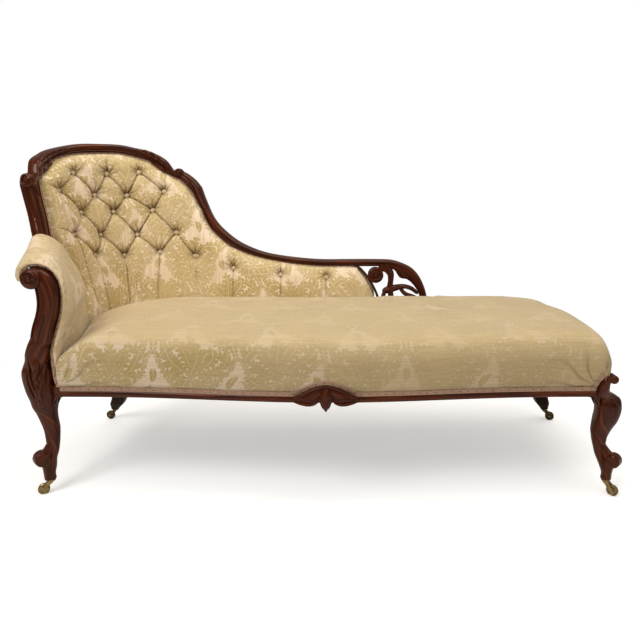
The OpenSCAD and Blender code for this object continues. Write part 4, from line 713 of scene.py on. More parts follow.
ARM_FRONT = [(0.650, -0.043), (0.675, 0.144), (0.750, 0.278), (0.867, 0.411), (0.967, 0.545),
             (1.008, 0.679), (0.983, 0.796), (0.875, 0.896), (0.683, 0.967), (0.433, 1.000),
             (0.185, 0.985), (0.015, 0.942), (-0.070, 0.872), (-0.045, 0.812)]
ARM_INSIDE = [(0.545, -0.043), (0.552, 0.144), (0.640, 0.278), (0.755, 0.411), (0.857, 0.545),
              (0.906, 0.679), (0.886, 0.796), (0.778, 0.890), (0.625, 0.938), (0.433, 0.955),
              (0.265, 0.948), (0.150, 0.914), (0.102, 0.863), (0.098, 0.820)]
ARM_REAR = [(0.022, 0.125, 1.00), (0.026, 0.180, 1.00), (0.029, 0.237, 1.00), (0.034, 0.294, 1.00),
            (0.048, 0.347, 1.00), (0.044, 0.418, 1.00), (0.034, 0.470, 0.99), (0.023, 0.525, 0.96),
            (0.012, 0.572, 0.94), (-0.002, 0.603, 0.78), (-0.0048, 0.612, 0.33),
            (-0.0048, 0.603, 0.02), (-0.0048, 0.585, -0.16), (-0.0048, 0.565, -0.20)]
ARM_REAR_INSIDE = [(0.022, 0.125, 0.64), (0.026, 0.180, 0.64), (0.029, 0.237, 0.64),
                   (0.034, 0.294, 0.64), (0.048, 0.347, 0.64), (0.044, 0.418, 0.64),
                   (0.032, 0.465, 0.64), (0.020, 0.510, 0.62), (0.008, 0.552, 0.66),
                   (-0.0048, 0.572, 0.46), (-0.0048, 0.575, 0.28), (-0.0048, 0.572, 0.12),
                   (-0.0048, 0.562, 0.01), (-0.0048, 0.553, -0.07)]


def arm_at(rows, y):
    """Points of an arm outline in a plane across the couch."""
    r = np.asarray(rows, float)
    return np.stack([ARM_LEFT + r[:, 0] * ARM_W, np.full(len(r), float(y)),
                     RAIL_TOP + r[:, 1] * (ARM_Z - RAIL_TOP)], -1)


def arm_back(rows):
    """Points of an arm outline where it meets the back."""
    r = np.asarray(rows, float)
    return spot(r[:, 0], r[:, 1], r[:, 2] * PAD_D)


# Seat tables, as shares of the pad's height and overhang

PAD_LOW, PAD_OUT = RAIL_Z + MOULD_H + 0.3, 16.0
SIDE = [(0.2, 0), (0.2, 0.075), (0.56, 0.115), (0.87, 0.22), (1, 0.38), (1, 0.53), (0.92, 0.655),
        (0.70, 0.765), (0.25, 0.858), (-0.6, 0.925), (-2.0, 0.967), (-4.4, 0.992)]
CROWN = [(0.25, 1.012), (0.42, 1.018), (0.60, 1.014), (0.78, 1.0)]
AGAINST = [(-3.6, 0.998), (-1.9, 0.99), (-0.8, 0.97), (-0.2, 0.92), (0, 0.80), (0, 0.40)]
OPEN = [(-2.6, 0.99), (-0.8, 0.95), (0.5, 0.86), (1, 0.70), (1, 0.30), (0.25, 0)]
SEAT_R = CORNER_R + LEAN * (RAIL_Z + PAD_FOOT * BACK_H - RAIL_TOP) - PAD_D - 0.3
SEAT_LEFT, SEAT_RIGHT = -FRONT_END + 0.3, FOOT_X + PAD_OUT
SEAT_SPAN = SEAT_RIGHT - SEAT_LEFT


def front_y(x):
    """Front face of the serpentine rail."""
    return -2 - 44 * np.maximum(0, 0.5 + 0.5 * np.cos(np.pi * np.clip(np.abs(x) / FRONT_END, 0, 1))) ** 1.3


def seat_rings(stations, rows):
    """Rings of the seat's upholstery, from the front tack line over the crown to the rear."""
    # Stations close up at the foot end: places from the end, in overhangs
    near = np.array([3.6, 2.6, 1.9, 1.4, 1.1, 0.95, 0.84, 0.78,
                     0.70, 0.55, 0.40, 0.28, 0.17, 0.08, 0.02, 0.0])
    near = 1 - near * PAD_OUT / SEAT_SPAN
    s = np.concatenate([np.linspace(0, near[0], stations - len(near), endpoint=False), near])[:, None]
    x = mix(SEAT_LEFT, SEAT_RIGHT, s)
    left = (1 - s) * SEAT_SPAN
    curve = lambda r: r * (1 - np.sqrt(1 - np.clip(1 - left / r, 0, 1) ** 2))
    yf = front_y(np.minimum(x, FRONT_END)) - 0.3 + curve(30.0)
    opened = smooth((x - (CORNER_X + BACK_RUN * (1 - CORNER_SHARE) + 8)) / 30)
    back_y, fret_y = CORNER_Y + SEAT_R - 0.3, CORNER_Y + CORNER_R - FRAME_D - 0.9
    yb = mix(back_y, fret_y, smooth((x - CORNER_X - 0.45 * BACK_RUN) / 60))
    yb = mix(yb, REAR_Y + 0.3, opened) - curve(95.0)
    low = np.where(left > 12.5, 0, 0.075 + 0.305 * np.clip(1 - left / 12.5, 0, 1) ** 1.3)
    end_high = 1 - 0.45 * np.clip(1 - left / 52, 0, 1) ** 2.2
    start_high = 1 - 0.40 * np.clip(1 - s * SEAT_SPAN / 190, 0, 1) ** 2.6
    (side, side_k), (crown, crown_k), (shut, shut_k), (loose, loose_k) = (
        np.array(table).T[:, None] for table in (SIDE, CROWN, AGAINST, OPEN))
    y = np.concatenate([yf - side * PAD_OUT, mix(yf, yb, crown),
                        mix(yb + shut * PAD_OUT, yb + loose * PAD_OUT, opened)], axis=1)
    k = np.concatenate([side_k + 0 * s, crown_k + 0 * s, mix(shut_k, loose_k, opened)], axis=1)
    high = np.minimum(mix(start_high, 1, 0.5 * smooth((y - 120) / 220)), end_high)
    z = np.where(k > 0.0751, mix(np.maximum(low, 0.075), high, (k - 0.075) / 0.925),
                 np.where(low > 0, low + k / 100, k))
    q = np.clip((y - CORNER_Y) / SEAT_R, 0, 1)
    corner = CORNER_X - SEAT_R * (1 - q**3.4) ** (1 / 3.4)
    edge = np.maximum(SEAT_LEFT - 11 * smooth((y - 30) / 230), corner)
    px = x + (edge - SEAT_LEFT) * (1 - smooth(s / 0.6))
    rings = np.stack([px, y, PAD_LOW + (SEAT_Z - PAD_LOW) * z], -1)
    return np.swapaxes(spline(np.swapaxes(rings, 0, 1), rows), 0, 1)


# Materials

def srgb(code):
    """Linear colour of an sRGB hex value."""
    v = np.array([int(code[i:i + 2], 16) / 255 for i in (1, 3, 5)])
    lin = np.where(v <= 0.04045, v / 12.92, ((v + 0.055) / 1.055) ** 2.4)
    return (*[float(c) for c in lin], 1.0)


def plug(tree, target, inputs):
    """Sets a node's inputs: a socket is linked, anything else is the input's value."""
    for key, value in inputs.items():
        if isinstance(value, bpy.types.NodeSocket):
            tree.links.new(value, target.inputs[key])
        else:
            target.inputs[key].default_value = value


def node(tree, kind, inputs=None, **settings):
    """Adds a shader node: settings are its properties, inputs its socket values or links."""
    made = tree.nodes.new(kind)
    for key, value in settings.items():
        setattr(made, key, value)
    plug(tree, made, inputs or {})
    return made


def blank_tree(owner):
    """Empty node tree of a material or a world."""
    owner.use_nodes = True
    owner.node_tree.nodes.clear()
    return owner.node_tree


class Shade:
    """A material in the making: its node tree, its shader, and short calls for common nodes."""

    def __init__(self, name):
        """Starts a material with its shader joined to its output."""
        self.material = bpy.data.materials.new(name)
        self.tree = blank_tree(self.material)
        self.shader = node(self.tree, "ShaderNodeBsdfPrincipled")
        node(self.tree, "ShaderNodeOutputMaterial", {"Surface": self.shader.outputs[0]})

    def maths(self, operation, a, b=0.0):
        """One step of arithmetic on shader values."""
        return node(self.tree, "ShaderNodeMath", {0: a, 1: b}, operation=operation).outputs[0]

    def times(self, a, b):
        """Product of two values."""
        return self.maths("MULTIPLY", a, b)

    def plus(self, a, b):
        """Sum of two values."""
        return self.maths("ADD", a, b)

    def uv(self):
        """Distance along and across the piece, in metres."""
        return node(self.tree, "ShaderNodeUVMap", uv_map="UVMap").outputs[0]

    def place(self):
        """Place on the object, in metres."""
        return node(self.tree, "ShaderNodeTexCoord").outputs["Object"]

    def field(self, name):
        """Value that the mesh carries for each vertex."""
        return node(self.tree, "ShaderNodeAttribute", attribute_name=name).outputs["Fac"]

    def noise(self, where, scale, detail=2.0, rough=0.5, bent=0.0):
        """Noise of one scale, or stretched by a scale for each axis."""
        if isinstance(scale, tuple):
            where = node(self.tree, "ShaderNodeMapping", {"Vector": where, "Scale": scale}).outputs[0]
            scale = 1.0
        inputs = {"Vector": where, "Scale": scale, "Detail": detail, "Roughness": rough, "Distortion": bent}
        return node(self.tree, "ShaderNodeTexNoise", inputs).outputs[0]

    def remap(self, value, low, high, to_low=0.0, to_high=1.0, kind="LINEAR"):
        """Value carried from one range to another and held at its ends."""
        inputs = {"Value": value, "From Min": low, "From Max": high, "To Min": to_low, "To Max": to_high}
        return node(self.tree, "ShaderNodeMapRange", inputs, interpolation_type=kind).outputs[0]

    def clamp(self, value):
        """Value held between 0 and 1."""
        return node(self.tree, "ShaderNodeClamp", {0: value}).outputs[0]

    def blend(self, share, a, b, kind="MIX"):
        """Mix of two colours, each a hex value, a linear colour or a socket."""
        a, b = (srgb(c) if isinstance(c, str) else c for c in (a, b))
        inputs = {"Factor": share, 6: a, 7: b}
        return node(self.tree, "ShaderNodeMix", inputs, data_type="RGBA", blend_type=kind).outputs[2]

    def dress(self, colour, rough, height, strength, distance, **others):
        """Finished material: colour, roughness, a bump and other shader inputs by their names."""
        bump = node(self.tree, "ShaderNodeBump",
                    {"Height": height, "Strength": strength, "Distance": distance})
        named = {key.replace("_", " "): value for key, value in others.items()}
        inputs = {"Base Color": colour, "Roughness": rough, "Normal": bump.outputs[0], **named}
        plug(self.tree, self.shader, inputs)
        return self.material


def wood_material(name, dark, middle, light, rough, coat, by_uv=True):
    """Hardwood: long grain from stretched noise, fine pores, and a slow change of tone.

    By UV the grain runs along each member; otherwise it runs along the object's x.
    """
    m = Shade(name)
    where = m.uv() if by_uv else m.place()
    figure = m.noise(where, (6, 90, 90), 4.0, 0.52, 0.4)
    pores = m.noise(where, (60, 900, 900))
    ramp = node(m.tree, "ShaderNodeValToRGB", {0: figure})
    stops = ramp.color_ramp.elements
    stops[0].position, stops[0].color = 0.22, srgb(dark)
    stops[1].position, stops[1].color = 0.80, srgb(light)
    stops.new(0.52).color = srgb(middle)
    tone = m.blend(m.times(m.noise(m.place(), 7.0), 0.30), ramp.outputs[0], dark)
    tone = m.blend(m.times(m.maths("GREATER_THAN", pores, 0.62), 0.35), tone, dark)
    return m.dress(tone, m.plus(m.times(pores, 0.12), rough - 0.06),
                   m.plus(m.times(pores, 0.5), figure), 0.10, 0.0006, Coat_Weight=coat,
                   Coat_Roughness=0.06, Coat_Tint=srgb("#c48a62"), Specular_IOR_Level=0.20,
                   Specular_Tint=srgb("#c08a64"))


def damask_material(name, plain, painted_light_factor, turn=False):
    """Cotton damask: satin leaves on a ribbed ground, from the leaf attribute's edge.

    Plain is how far the pattern has worn away everywhere, and lift lightens the whole.
    Turned cloth has its ribs along the piece. They are coarser than the real 1.5 mm, so
    that they show.
    """
    c, pitch = bpy.context.scene.couch_colours, bpy.context.scene.couch_sizes.rib_pitch
    m = Shade(name)
    uv = m.uv()
    across = node(m.tree, "ShaderNodeSeparateXYZ", {0: uv}).outputs[0 if turn else 1]
    threads = lambda along, over, detail, rough: m.noise(
        uv, (over, along, 1) if turn else (along, over, 1), detail, rough)
    ragged = m.times(m.maths("SUBTRACT", m.noise(uv, 420.0), 0.5), 2.4)
    mask = m.remap(m.plus(m.field("leaf"), ragged), -0.9, 0.9, kind="SMOOTHSTEP")
    keep = m.remap(m.noise(uv, 7.0, 3.0, 0.6), 0.35, 0.72, 1.0, 0.62)
    worn = m.field("worn")
    sound = m.clamp(m.maths("SUBTRACT", 1.0 - plain, worn))
    shown = m.times(mask, m.times(keep, sound))
    ribs = m.maths("SINE", m.times(across, 2 * math.pi / pitch))
    uneven = threads(12, 260, 3.0, 0.5)
    ground = m.blend(m.times(m.plus(ribs, 1.0), 0.16), c.ground, c.rib)
    ground = m.blend(m.remap(uneven, 0.50, 0.70, to_high=0.45), ground, c.rib)
    ground = m.blend(m.clamp(m.plus(worn, plain)), ground, c.faded)
    cloth = m.blend(shown, ground, m.blend(m.remap(uneven, 0.35, 0.7), c.leaf, c.leaf_light))
    stain = m.noise(uv, 3.2, 5.0, 0.55)
    cloth = m.blend(m.remap(stain, 0.46, 0.74, to_high=0.34), cloth, c.stain)
    cloth = m.blend(m.remap(threads(9, 190, 4.0, 0.7), 0.46, 0.74, to_high=0.50), cloth, c.slub)
    # Painted light and shade: the whole cloth lightened or darkened by the piece's factor
    cloth = m.blend(1.0, cloth, (painted_light_factor, painted_light_factor, painted_light_factor, 1.0), "MULTIPLY")
    # Painted shade: the fold colour darkens the cloth by its shade field, in folds, pits and creases
    cloth = m.blend(m.clamp(m.field("painted_shade")), cloth, c.fold)
    raised = m.times(ribs, m.maths("SUBTRACT", 0.34, m.times(shown, 0.24)))
    nap = m.times(m.noise(uv, (900, 900, 1)), 0.6)
    return m.dress(cloth, m.maths("SUBTRACT", 0.86, m.times(shown, 0.22)),
                   m.plus(raised, m.plus(m.times(shown, 0.5), nap)), 0.5, 0.0006,
                   Sheen_Weight=0.25, Sheen_Roughness=0.5, Specular_IOR_Level=0.3)


def woven_material(name, light, dark, pitch, by_uv=False):
    """Plain or braided weave: crossed sine threads at the given pitch in metres."""
    m = Shade(name)
    where = m.uv() if by_uv else m.place()
    x, y, z = node(m.tree, "ShaderNodeSeparateXYZ", {0: where}).outputs
    ways = (m.plus(x, y), m.maths("SUBTRACT", x, y)) if by_uv else (m.plus(x, z), m.plus(y, z))
    weave = m.times(*[m.maths("SINE", m.times(way, 2 * math.pi / pitch)) for way in ways])
    fluff = m.noise(where, 55.0, 4.0)
    share = m.remap(m.plus(weave, m.times(fluff, 2.0)), -0.4, 2.0)
    return m.dress(m.blend(share, dark, light), 0.9, m.plus(weave, fluff), 0.6, 0.0008,
                   Sheen_Weight=0.2)


def metal_material(name, bright, dull, rough, wear):
    """Metal: bright where it is rubbed, duller and rougher where it has tarnished."""
    m = Shade(name)
    tarnish = m.noise(m.place(), 130.0, 5.0, 0.6)
    share = m.remap(tarnish, 0.35, 0.68, to_high=wear)
    return m.dress(m.blend(share, bright, dull), m.plus(m.times(share, 0.3), rough), tarnish,
                   0.15, 0.0004, Metallic=1.0)


LIBRARY = {}


def finish_of(key):
    """Finish from the library, made on first use from the user's colours and sizes."""
    c = bpy.context.scene.couch_colours
    make = {
        # Mahogany, carved and polished by hand: deep red-brown, a soft clear shine on its edges
        "mahogany": lambda: wood_material(
            "polished_mahogany", c.wood_dark, c.wood_middle, c.wood_light, 0.28, 0.30),
        # Rear legs, nearly black and without polish, dark and matt: painted shade for their place under the
        # couch
        "dark_wood_painted_shade": lambda: wood_material(
            "dark_stained_wood", "#0f0705", "#21100a", "#351a10", 0.5, 0.05),
        # Beech, sawn and left bare inside the upholstery: pale, dry and dull
        "beech": lambda: wood_material(
            "sawn_beech", "#8f6f49", "#b08e62", "#c9ab7e", 0.75, 0.0, by_uv=False),
        # Cotton damask, woven: satin leaves catch the light, the ribbed ground stays matt;
        # one finish for each way that the cloth lies and has faded, each lightened or darkened
        # as a whole by painted light and shade
        "damask_back": lambda: damask_material("cotton_damask_upright", 0.05, 1.28, turn=True),
        "damask_seat": lambda: damask_material("cotton_damask_level", 0.06, 0.98),
        "damask_arm": lambda: damask_material("cotton_damask_worn", 0.08, 1.16),
        # Gimp, plaited from pinkish cotton cords: a fine slanting weave, soft and matt
        "gimp": lambda: woven_material("cotton_gimp_braid", c.gimp, "#8d6f58", 0.0042, by_uv=True),
        # Jute, coarsely woven into webbing and hessian: brown, hairy and dull
        "jute": lambda: woven_material("jute_webbing", "#a58a5f", "#6d5638", 0.004),
        # Cotton, plain woven and dyed black: closes the seat from below with a dull dark face
        "bottoming": lambda: woven_material("black_cotton_bottoming", "#2b2926", "#151412", 0.003),
        # Brass, cast and long handled: yellow with brown tarnish
        "brass": lambda: metal_material("cast_brass", "#a8905c", "#42331d", 0.28, 0.85),
        # Brass of the rear casters, cast, with tarnish, and darker and browner all over as painted shade
        "brass_painted_shade": lambda: metal_material("tarnished_brass", "#75643f", "#2a2013", 0.40, 0.9),
        # Steel, drawn to wire and turned to pins: grey with darker spots
        "steel": lambda: metal_material("drawn_steel", "#9a9a98", "#5a5650", 0.35, 0.6),
        # Iron tacks, cut and browned with age: small dark heads
        "tacks": lambda: metal_material("iron_gimp_pins", "#5a4a3c", "#2a2019", 0.5, 0.8),
    }
    if key not in LIBRARY:
        LIBRARY[key] = make[key]()
    return LIBRARY[key]


# Legs

def lofted(boxes, count=150, sides=48):
    """Smooth rings through a table of boxes."""
    return spline(box_rings(boxes, sides), count)


def leg_front(table, x, side):
    """Surface function of a leg's front: x and height in millimetres, height of the relief."""
    rows = lofted(corner_boxes(table, x, side), 200)
    zs = rows[:, :, 2].mean(axis=1)
    left, right = rows[:, :, 0].min(axis=1), rows[:, :, 0].max(axis=1)
    near, far = rows[:, :, 1].min(axis=1), rows[:, :, 1].max(axis=1)

    def surface(px, pz, h):
        """Point of the front, raised along its normal."""
        l, r, f, b = (np.interp(pz, zs, v) for v in (left, right, near, far))
        q = np.clip((px - (l + r) / 2) / ((r - l) / 2), -0.985, 0.985)
        drop = (1 - np.abs(q) ** 3.2) ** (1 / 3.2)
        nx, ny = np.sign(q) * np.abs(q) ** 2.2, -drop ** 2.2
        m = np.hypot(nx, ny)
        return np.stack([(l + r) / 2 + q * (r - l) / 2 + h * nx / m,
                         (f + b) / 2 - drop * (b - f) / 2 + h * ny / m, pz], -1)

    return surface


def facing_front(rings):
    """Surface function of the facing's front: place along it and across it, from 0 to 1."""
    each, x = np.arange(len(rings)), rings[:, :, 0]
    low, high = rings[each, x.argmin(axis=1)], rings[each, x.argmax(axis=1)]
    at = np.linspace(0, 1, len(rings))
    on = lambda line, along: np.stack([np.interp(along, at, line[:, k]) for k in range(3)], -1)

    def surface(across, along, h):
        """Point of the front, raised towards the viewer."""
        p = mix(on(low, along), on(high, along), across[..., None])
        q = np.clip(2 * across - 1, -0.98, 0.98)
        p[..., 1] = FACE_FRONT + 6 * (1 - (1 - np.abs(q) ** 3.2) ** (1 / 3.2)) - h
        return p

    return surface


def scroll_toe(x, y, to_x, to_y, share, radius, turn, foot):
    """Scroll toe at a share of the leg's height, and the wood that carries the leg out into
    it and down to a broad foot.

    The wood is made of rings along the diagonal, each with its height, its place as a share
    of the way, and its half widths; foot is how far out the foot stands.
    """
    high = float(leg_z(share))
    out = np.array([to_x - x, to_y - y])
    reach = np.linalg.norm(out)
    out /= reach
    across = np.array([-out[1], out[0]])
    rows = spline([(high + 56, 0.03, 9, 11), (high + 42, 0.15, 11, 13), (high + 28, 0.36, 13, 14),
                   (high + 13, 0.64, 16, 16), (high, 0.84, 17, 16),
                   (high - 15, mix(0.84, foot, 0.5), 16, 15), (high - 30, foot, 15, 14),
                   (66, foot, 13, 13), (46, foot, 12, 12)], 50)[:, None]
    q = squircle(36, 2.6)[None]
    plan = np.array([x, y]) + out * (rows[..., 1:2] * reach + q[..., :1] * rows[..., 2:3])
    plan = plan + across * (q[..., 1:] * rows[..., 3:4])
    web = np.concatenate([plan, np.repeat(rows[..., :1], q.shape[1], axis=1)], axis=2)
    return [turned_disc((to_x, to_y, high), radius, 32, 6, math.radians(turn)), loft(web)]


def head_leg():
    """Front leg at the head end: scrolled foot, bulging knee, and the arm's facing that
    curls over to a volute, all one carved member."""
    corner = corner_boxes(HEAD_LEG, HEAD_X, 1)
    corner[:, 0] -= 9 * bell(corner[:, 4] - 368, 50) + 8 * bell(corner[:, 4] - 235, 45)
    corner[:, 2] -= 7 * bell(corner[:, 4] - 235, 45)
    corner = np.vstack([corner, block_boxes(NECK, HEAD_X, 1)])
    rings = np.concatenate([box_rings(corner), facing_rings()])
    parts = [loft(spline(rings, 300))]
    near = 0.02 * LEG_W
    parts += scroll_toe(HEAD_X + 0.25 * LEG_W, 0.25 * LEG_W, HEAD_X - near, -near, 0.272, 22.5, 45, 0.62)
    # Volute at the top of the facing, with six petals round its eye
    eye = np.array([-789.6, -10.5, 640.0])
    parts.append(turned_disc(eye, 27.5, 45, 6, 0))
    flat = lambda a, b, h: np.stack([eye[0] + a, eye[1] - 24.6 - h + 0 * a, eye[2] + b], -1)
    parts += scroll(flat, (0, 0), (23, 8, 1.15, 2.4, -1), (7.5, 5.0), (7.5, 6.5), count=90)
    for a in np.linspace(0, 2 * math.pi, 6, endpoint=False):
        petal = [(r * math.cos(a + b), r * math.sin(a + b)) for r, b in ((4, 0), (11, 0), (15.5, 0.15))]
        parts.append(relief(petal, 7, 3.5, flat, vein=0.4, count=14, across=9))
    front, middle = leg_front(HEAD_LEG, HEAD_X, 1), HEAD_X + 0.19 * LEG_W

    def carve(path, width, height, **more):
        """Relief on the leg's front, placed from the knee's middle line."""
        parts.append(relief(path, width, height, front, at=(middle, 0), **more))

    # Knee: two long C scrolls round an oval boss, with a short leaf hanging below
    for side in (-1, 1):
        carve([(5, 470), (15, 440), (19, 400), (15, 356), (4, 312)], 9, 6.5, hand=side, count=80, blunt=0.3)
        carve([(22, 392), (27, 362), (20, 326), (8, 292)], 8, 5.5, hand=side, count=60)
        parts.append(boss((middle + side * 9, 438), 5.5, 5.5, front, sides=18, dent=1.5))
    carve([(0, 426), (-1, 408), (1, 386), (0, 360)], 25, 13.0, count=60, blunt=0.6)
    parts.append(boss((middle + 1, 352), 6.5, 6.5, front, sides=22))
    carve([(0, 340), (0, 318), (1, 292), (0, 262)], 22, 5.5, lobes=3, vein=0.5)
    carve([(4, 262), (3, 220), (-2, 178)], 9, 2.6)
    # Facing: a long leaf up the middle, between two raised edges
    face = facing_front(spline(facing_rings(), 160))
    for edge, end in ((0.10, 0.14), (0.90, 0.86)):
        ridge = [(edge, 0.03), (edge, 0.3), (edge, 0.6), (end, 0.78)]
        parts.append(relief(ridge, 0.11, 3.2, face, count=70, across=9, blunt=0.2))
    spine = [(0.46, 0.0), (0.38, 0.10), (0.42, 0.22), (0.50, 0.36)]
    parts.append(relief(spine, 0.26, 4.0, face, vein=0.25, count=60))
    return piece("head_leg_carved", parts, "mahogany", "head_leg")


def foot_leg():
    """Front leg at the foot end: cabriole with a carved knee, rising to a scrolled block."""
    corner = corner_boxes(FOOT_LEG, END_X, -1)
    corner[:, 1] += 14 * bell(corner[:, 4] - 205, 42)
    corner[:, 2] -= 12 * bell(corner[:, 4] - 205, 42)
    corner = np.vstack([corner, block_boxes(FOOT_TOP, END_X, -1)])
    parts = [loft(spline(box_rings(corner), 260))]
    parts += scroll_toe(END_X - 0.36 * LEG_W, 0.36 * LEG_W, END_X, 0.0, 0.246, 20.5, 135, 0.70)
    # Little scroll on top of the block, at the seat's corner
    parts.append(turned_disc((END_X - 0.33 * LEG_W, -9, 358.0), 12, 34, 4, 0))
    front, middle = leg_front(FOOT_LEG, END_X, -1), (END_X - 0.26 * LEG_W, 0)
    # Knee: one long raised edge down the bulge and a short one inside it
    for path, width, height in (([(-10, 298), (12, 284), (17, 258), (6, 232)], 8, 4.5),
                                ([(-12, 280), (1, 268), (3, 248), (-4, 226)], 7, 4)):
        parts.append(relief(path, width, height, front, count=60, blunt=0.3, at=middle))
    return piece("foot_leg_carved", parts, "mahogany", "foot_leg")


def rear_legs():
    """Two plain square rear legs, swept back and out to their casters, with their blocks."""
    zs, sides = (300.0, RAIL_TOP), 32
    t = np.linspace(0, 1, 40)[:, None]
    wide = np.interp(t, [0, 0.035, 0.11, 0.25, 0.45, 1], [27, 32, 49, 52, 49, 44])
    us = np.linspace(0.180, 0.237, 8) * BACK_RUN
    x0, x1, y0, y1 = FOOT_X - 40, FOOT_X, REAR_Y - 48, REAR_Y
    made = []
    bent = [np.concatenate([wall(us, z, 0.0), wall(us[::-1], z, 44.0)]) for z in zs]
    square = [np.array([[x0, y0, z], [x1, y0, z], [x1, y1, z], [x0, y1, z]]) for z in zs]
    for name, stands_for, foot_x, top, block in (
            ("rear_leg_head", "rear_head_leg", HEAD_X, wall(0.2085 * BACK_RUN, RAIL_Z, 22.3)[:2], bent),
            ("rear_leg_foot", "rear_foot_leg", END_X, np.array([FOOT_X - 20, REAR_Y - 24]), square)):
        middle = mix(np.array([foot_x, 542.0]), top, 1 - (1 - t) ** 1.9)
        plan = middle[:, None] + squircle(sides, 5.0)[None] * wide[..., None] / 2
        high = np.repeat(mix(FOOT_Z, RAIL_Z, t)[..., None], sides, axis=1)
        parts = [loft(np.concatenate([plan, high], axis=2)), loft(np.stack(block))]
        # The rear legs' near-black wood is painted shade
        made.append(piece(name, parts, "dark_wood_painted_shade", stands_for))
    return made


# Show-wood of the back

def show_wood():
    """Stile, crest rail, sweep rail, end post and pierced bracket, each with its carving."""
    face = FRAME_D * 0.98
    top = on_back(face)

    def leaf(width, height, surface, lobes, vein, count, *shares, **more):
        """Leaf along shares of the back's run and height."""
        path = np.array(shares) * [BACK_RUN, BACK_H] + [0, RAIL_Z]
        return relief(path, width, height, surface, lobes=lobes, vein=vein, count=count, **more)

    at = lambda u, z: (u * BACK_RUN, RAIL_Z + z * BACK_H)
    # Shoulders: a slim leaf along the outer half of the rail, and a shorter one tucked behind
    crest = [moulded(CREST),
             leaf(20, 6, top, 6, 0.45, 110, (0.036, 0.874), (0.047, 0.904), (0.068, 0.930), (0.095, 0.952),
                  (0.128, 0.970), across=21),
             leaf(12, 5, top, 3, 0.4, 50, (0.048, 0.868), (0.060, 0.888), (0.076, 0.904)),
             leaf(20, 6, top, 6, 0.45, 110, (0.268, 0.976), (0.296, 0.962), (0.322, 0.930), (0.345, 0.885),
                  across=21),
             leaf(12, 5, top, 3, 0.4, 50, (0.338, 0.872), (0.325, 0.896), (0.305, 0.922))]
    # Ears: a scroll on the stile's front edge, and one on the face where the sweep starts
    eye = wall(-0.004 * BACK_RUN, RAIL_Z + 0.843 * BACK_H, 17.0) + [14, 0, -10]
    end = lambda a, b, g: np.stack([eye[0] + a, eye[1] - 6.5 - g + 0 * a, eye[2] + b], -1)
    stile = [moulded(STILE), leaf(14, 4.5, top, 3, 0.5, 50, (0.014, 0.828), (0.010, 0.800), (0.012, 0.765)),
             turned_disc(eye + [0, 6, 0], 20, 24, 6, 0)]
    stile += scroll(end, (0, 0), (15, 5, 1.0, math.pi / 2, 1), (5.5, 4.5), (5.5, 5.5), count=70, dent=1.5)
    ear = at(0.366, 0.869)
    sweep = [moulded(SWEEP), boss(ear, 15, 4, top)]
    sweep += scroll(on_back(face + 2.5), ear, (12, 5, 1.1, math.pi / 2, 1), (5.5, 5), (5, 6), dent=1.5)
    # Leaf that starts under the right ear and runs down the sweep
    sweep.append(leaf(14, 4.5, top, 3, 0.45, 60, (0.372, 0.852), (0.385, 0.820), (0.396, 0.780)))
    # Bracket: four strokes, each carved fuller than the sawn blank, round a disc with a scroll
    bracket = [wall_stroke(*stroke) for stroke in BRACKET]
    volute = at(0.866, 0.358)
    g = np.linspace(0, 2 * np.pi, 40, endpoint=False)[None, :]
    rr, hh = np.array([(28.0, 6.5), (28.5, 26.0), (27.0, 28.5), (23.0, 30.0), (0.5, 31.0)]).T[..., None]
    bracket.append(loft(wall(volute[0] + rr * np.cos(g), volute[1] + rr * np.sin(g), hh)))
    bracket += scroll(on_back(30.0), volute, (23, 7, 1.3, 1.2, -1), (8, 6), (6.5, 6))
    bracket.append(leaf(15, 4, on_back(27.0), 4, 0.5, 50, (0.884, 0.276), (0.902, 0.286), (0.925, 0.298),
                        (0.955, 0.294)))
    return [piece(name, parts, "mahogany", stands_for) for name, parts, stands_for in (
        ("stile", stile, "head_stile"), ("crest", crest, "crest_rail"), ("sweep", sweep, "sweep_rail"),
        ("post_at_end", [wall_stroke(POST, 3, 31)], "end_post"),
        ("fretted_bracket", bracket, "pierced_bracket"))]


# Seat rails

def rail_section():
    """Section of a rail: rounded bead at the foot, a quirk, flat face, eased top edge.
    Rows of outward offset from the face and height."""
    a = np.linspace(-np.pi / 2, np.pi / 2, 13)
    bead = np.stack([MOULD_OUT * (0.35 + 0.65 * np.cos(a)), RAIL_Z + MOULD_H / 2 * (1 + np.sin(a))], -1)
    bead_top = RAIL_Z + MOULD_H
    face = [(0.6, bead_top + 0.1), (0, bead_top + 0.8), (0, RAIL_TOP - 3), (-1, RAIL_TOP - 1),
            (-3, RAIL_TOP), (-RAIL_T, RAIL_TOP), (-RAIL_T, RAIL_Z)]
    return np.concatenate([bead, face])


def rail_bracket(x, hand):
    """Small hollow bracket between a leg and the underside of the rail: a quarter circle cut out."""
    radius, top = 30.0, RAIL_Z + 34
    a = np.linspace(np.pi / 2, np.pi, 14)
    hollow = np.stack([x + hand * radius * (1 + np.cos(a)), RAIL_Z - radius * (1 - np.sin(a))], -1)
    inner = [(x - hand * 6, RAIL_Z - radius), (x - hand * 6, top),
             (x + hand * 26, top), (x + hand * radius, RAIL_Z + 4)]
    outline = np.concatenate([hollow, inner])
    middle = outline.mean(axis=0)
    steps = ((0.90, -3.4), (0.98, -2.8), (1.0, -1.6), (1.0, 24.0))
    return loft(np.stack([np.insert(mix(middle, outline, k), 1, y, axis=1) for k, y in steps]))


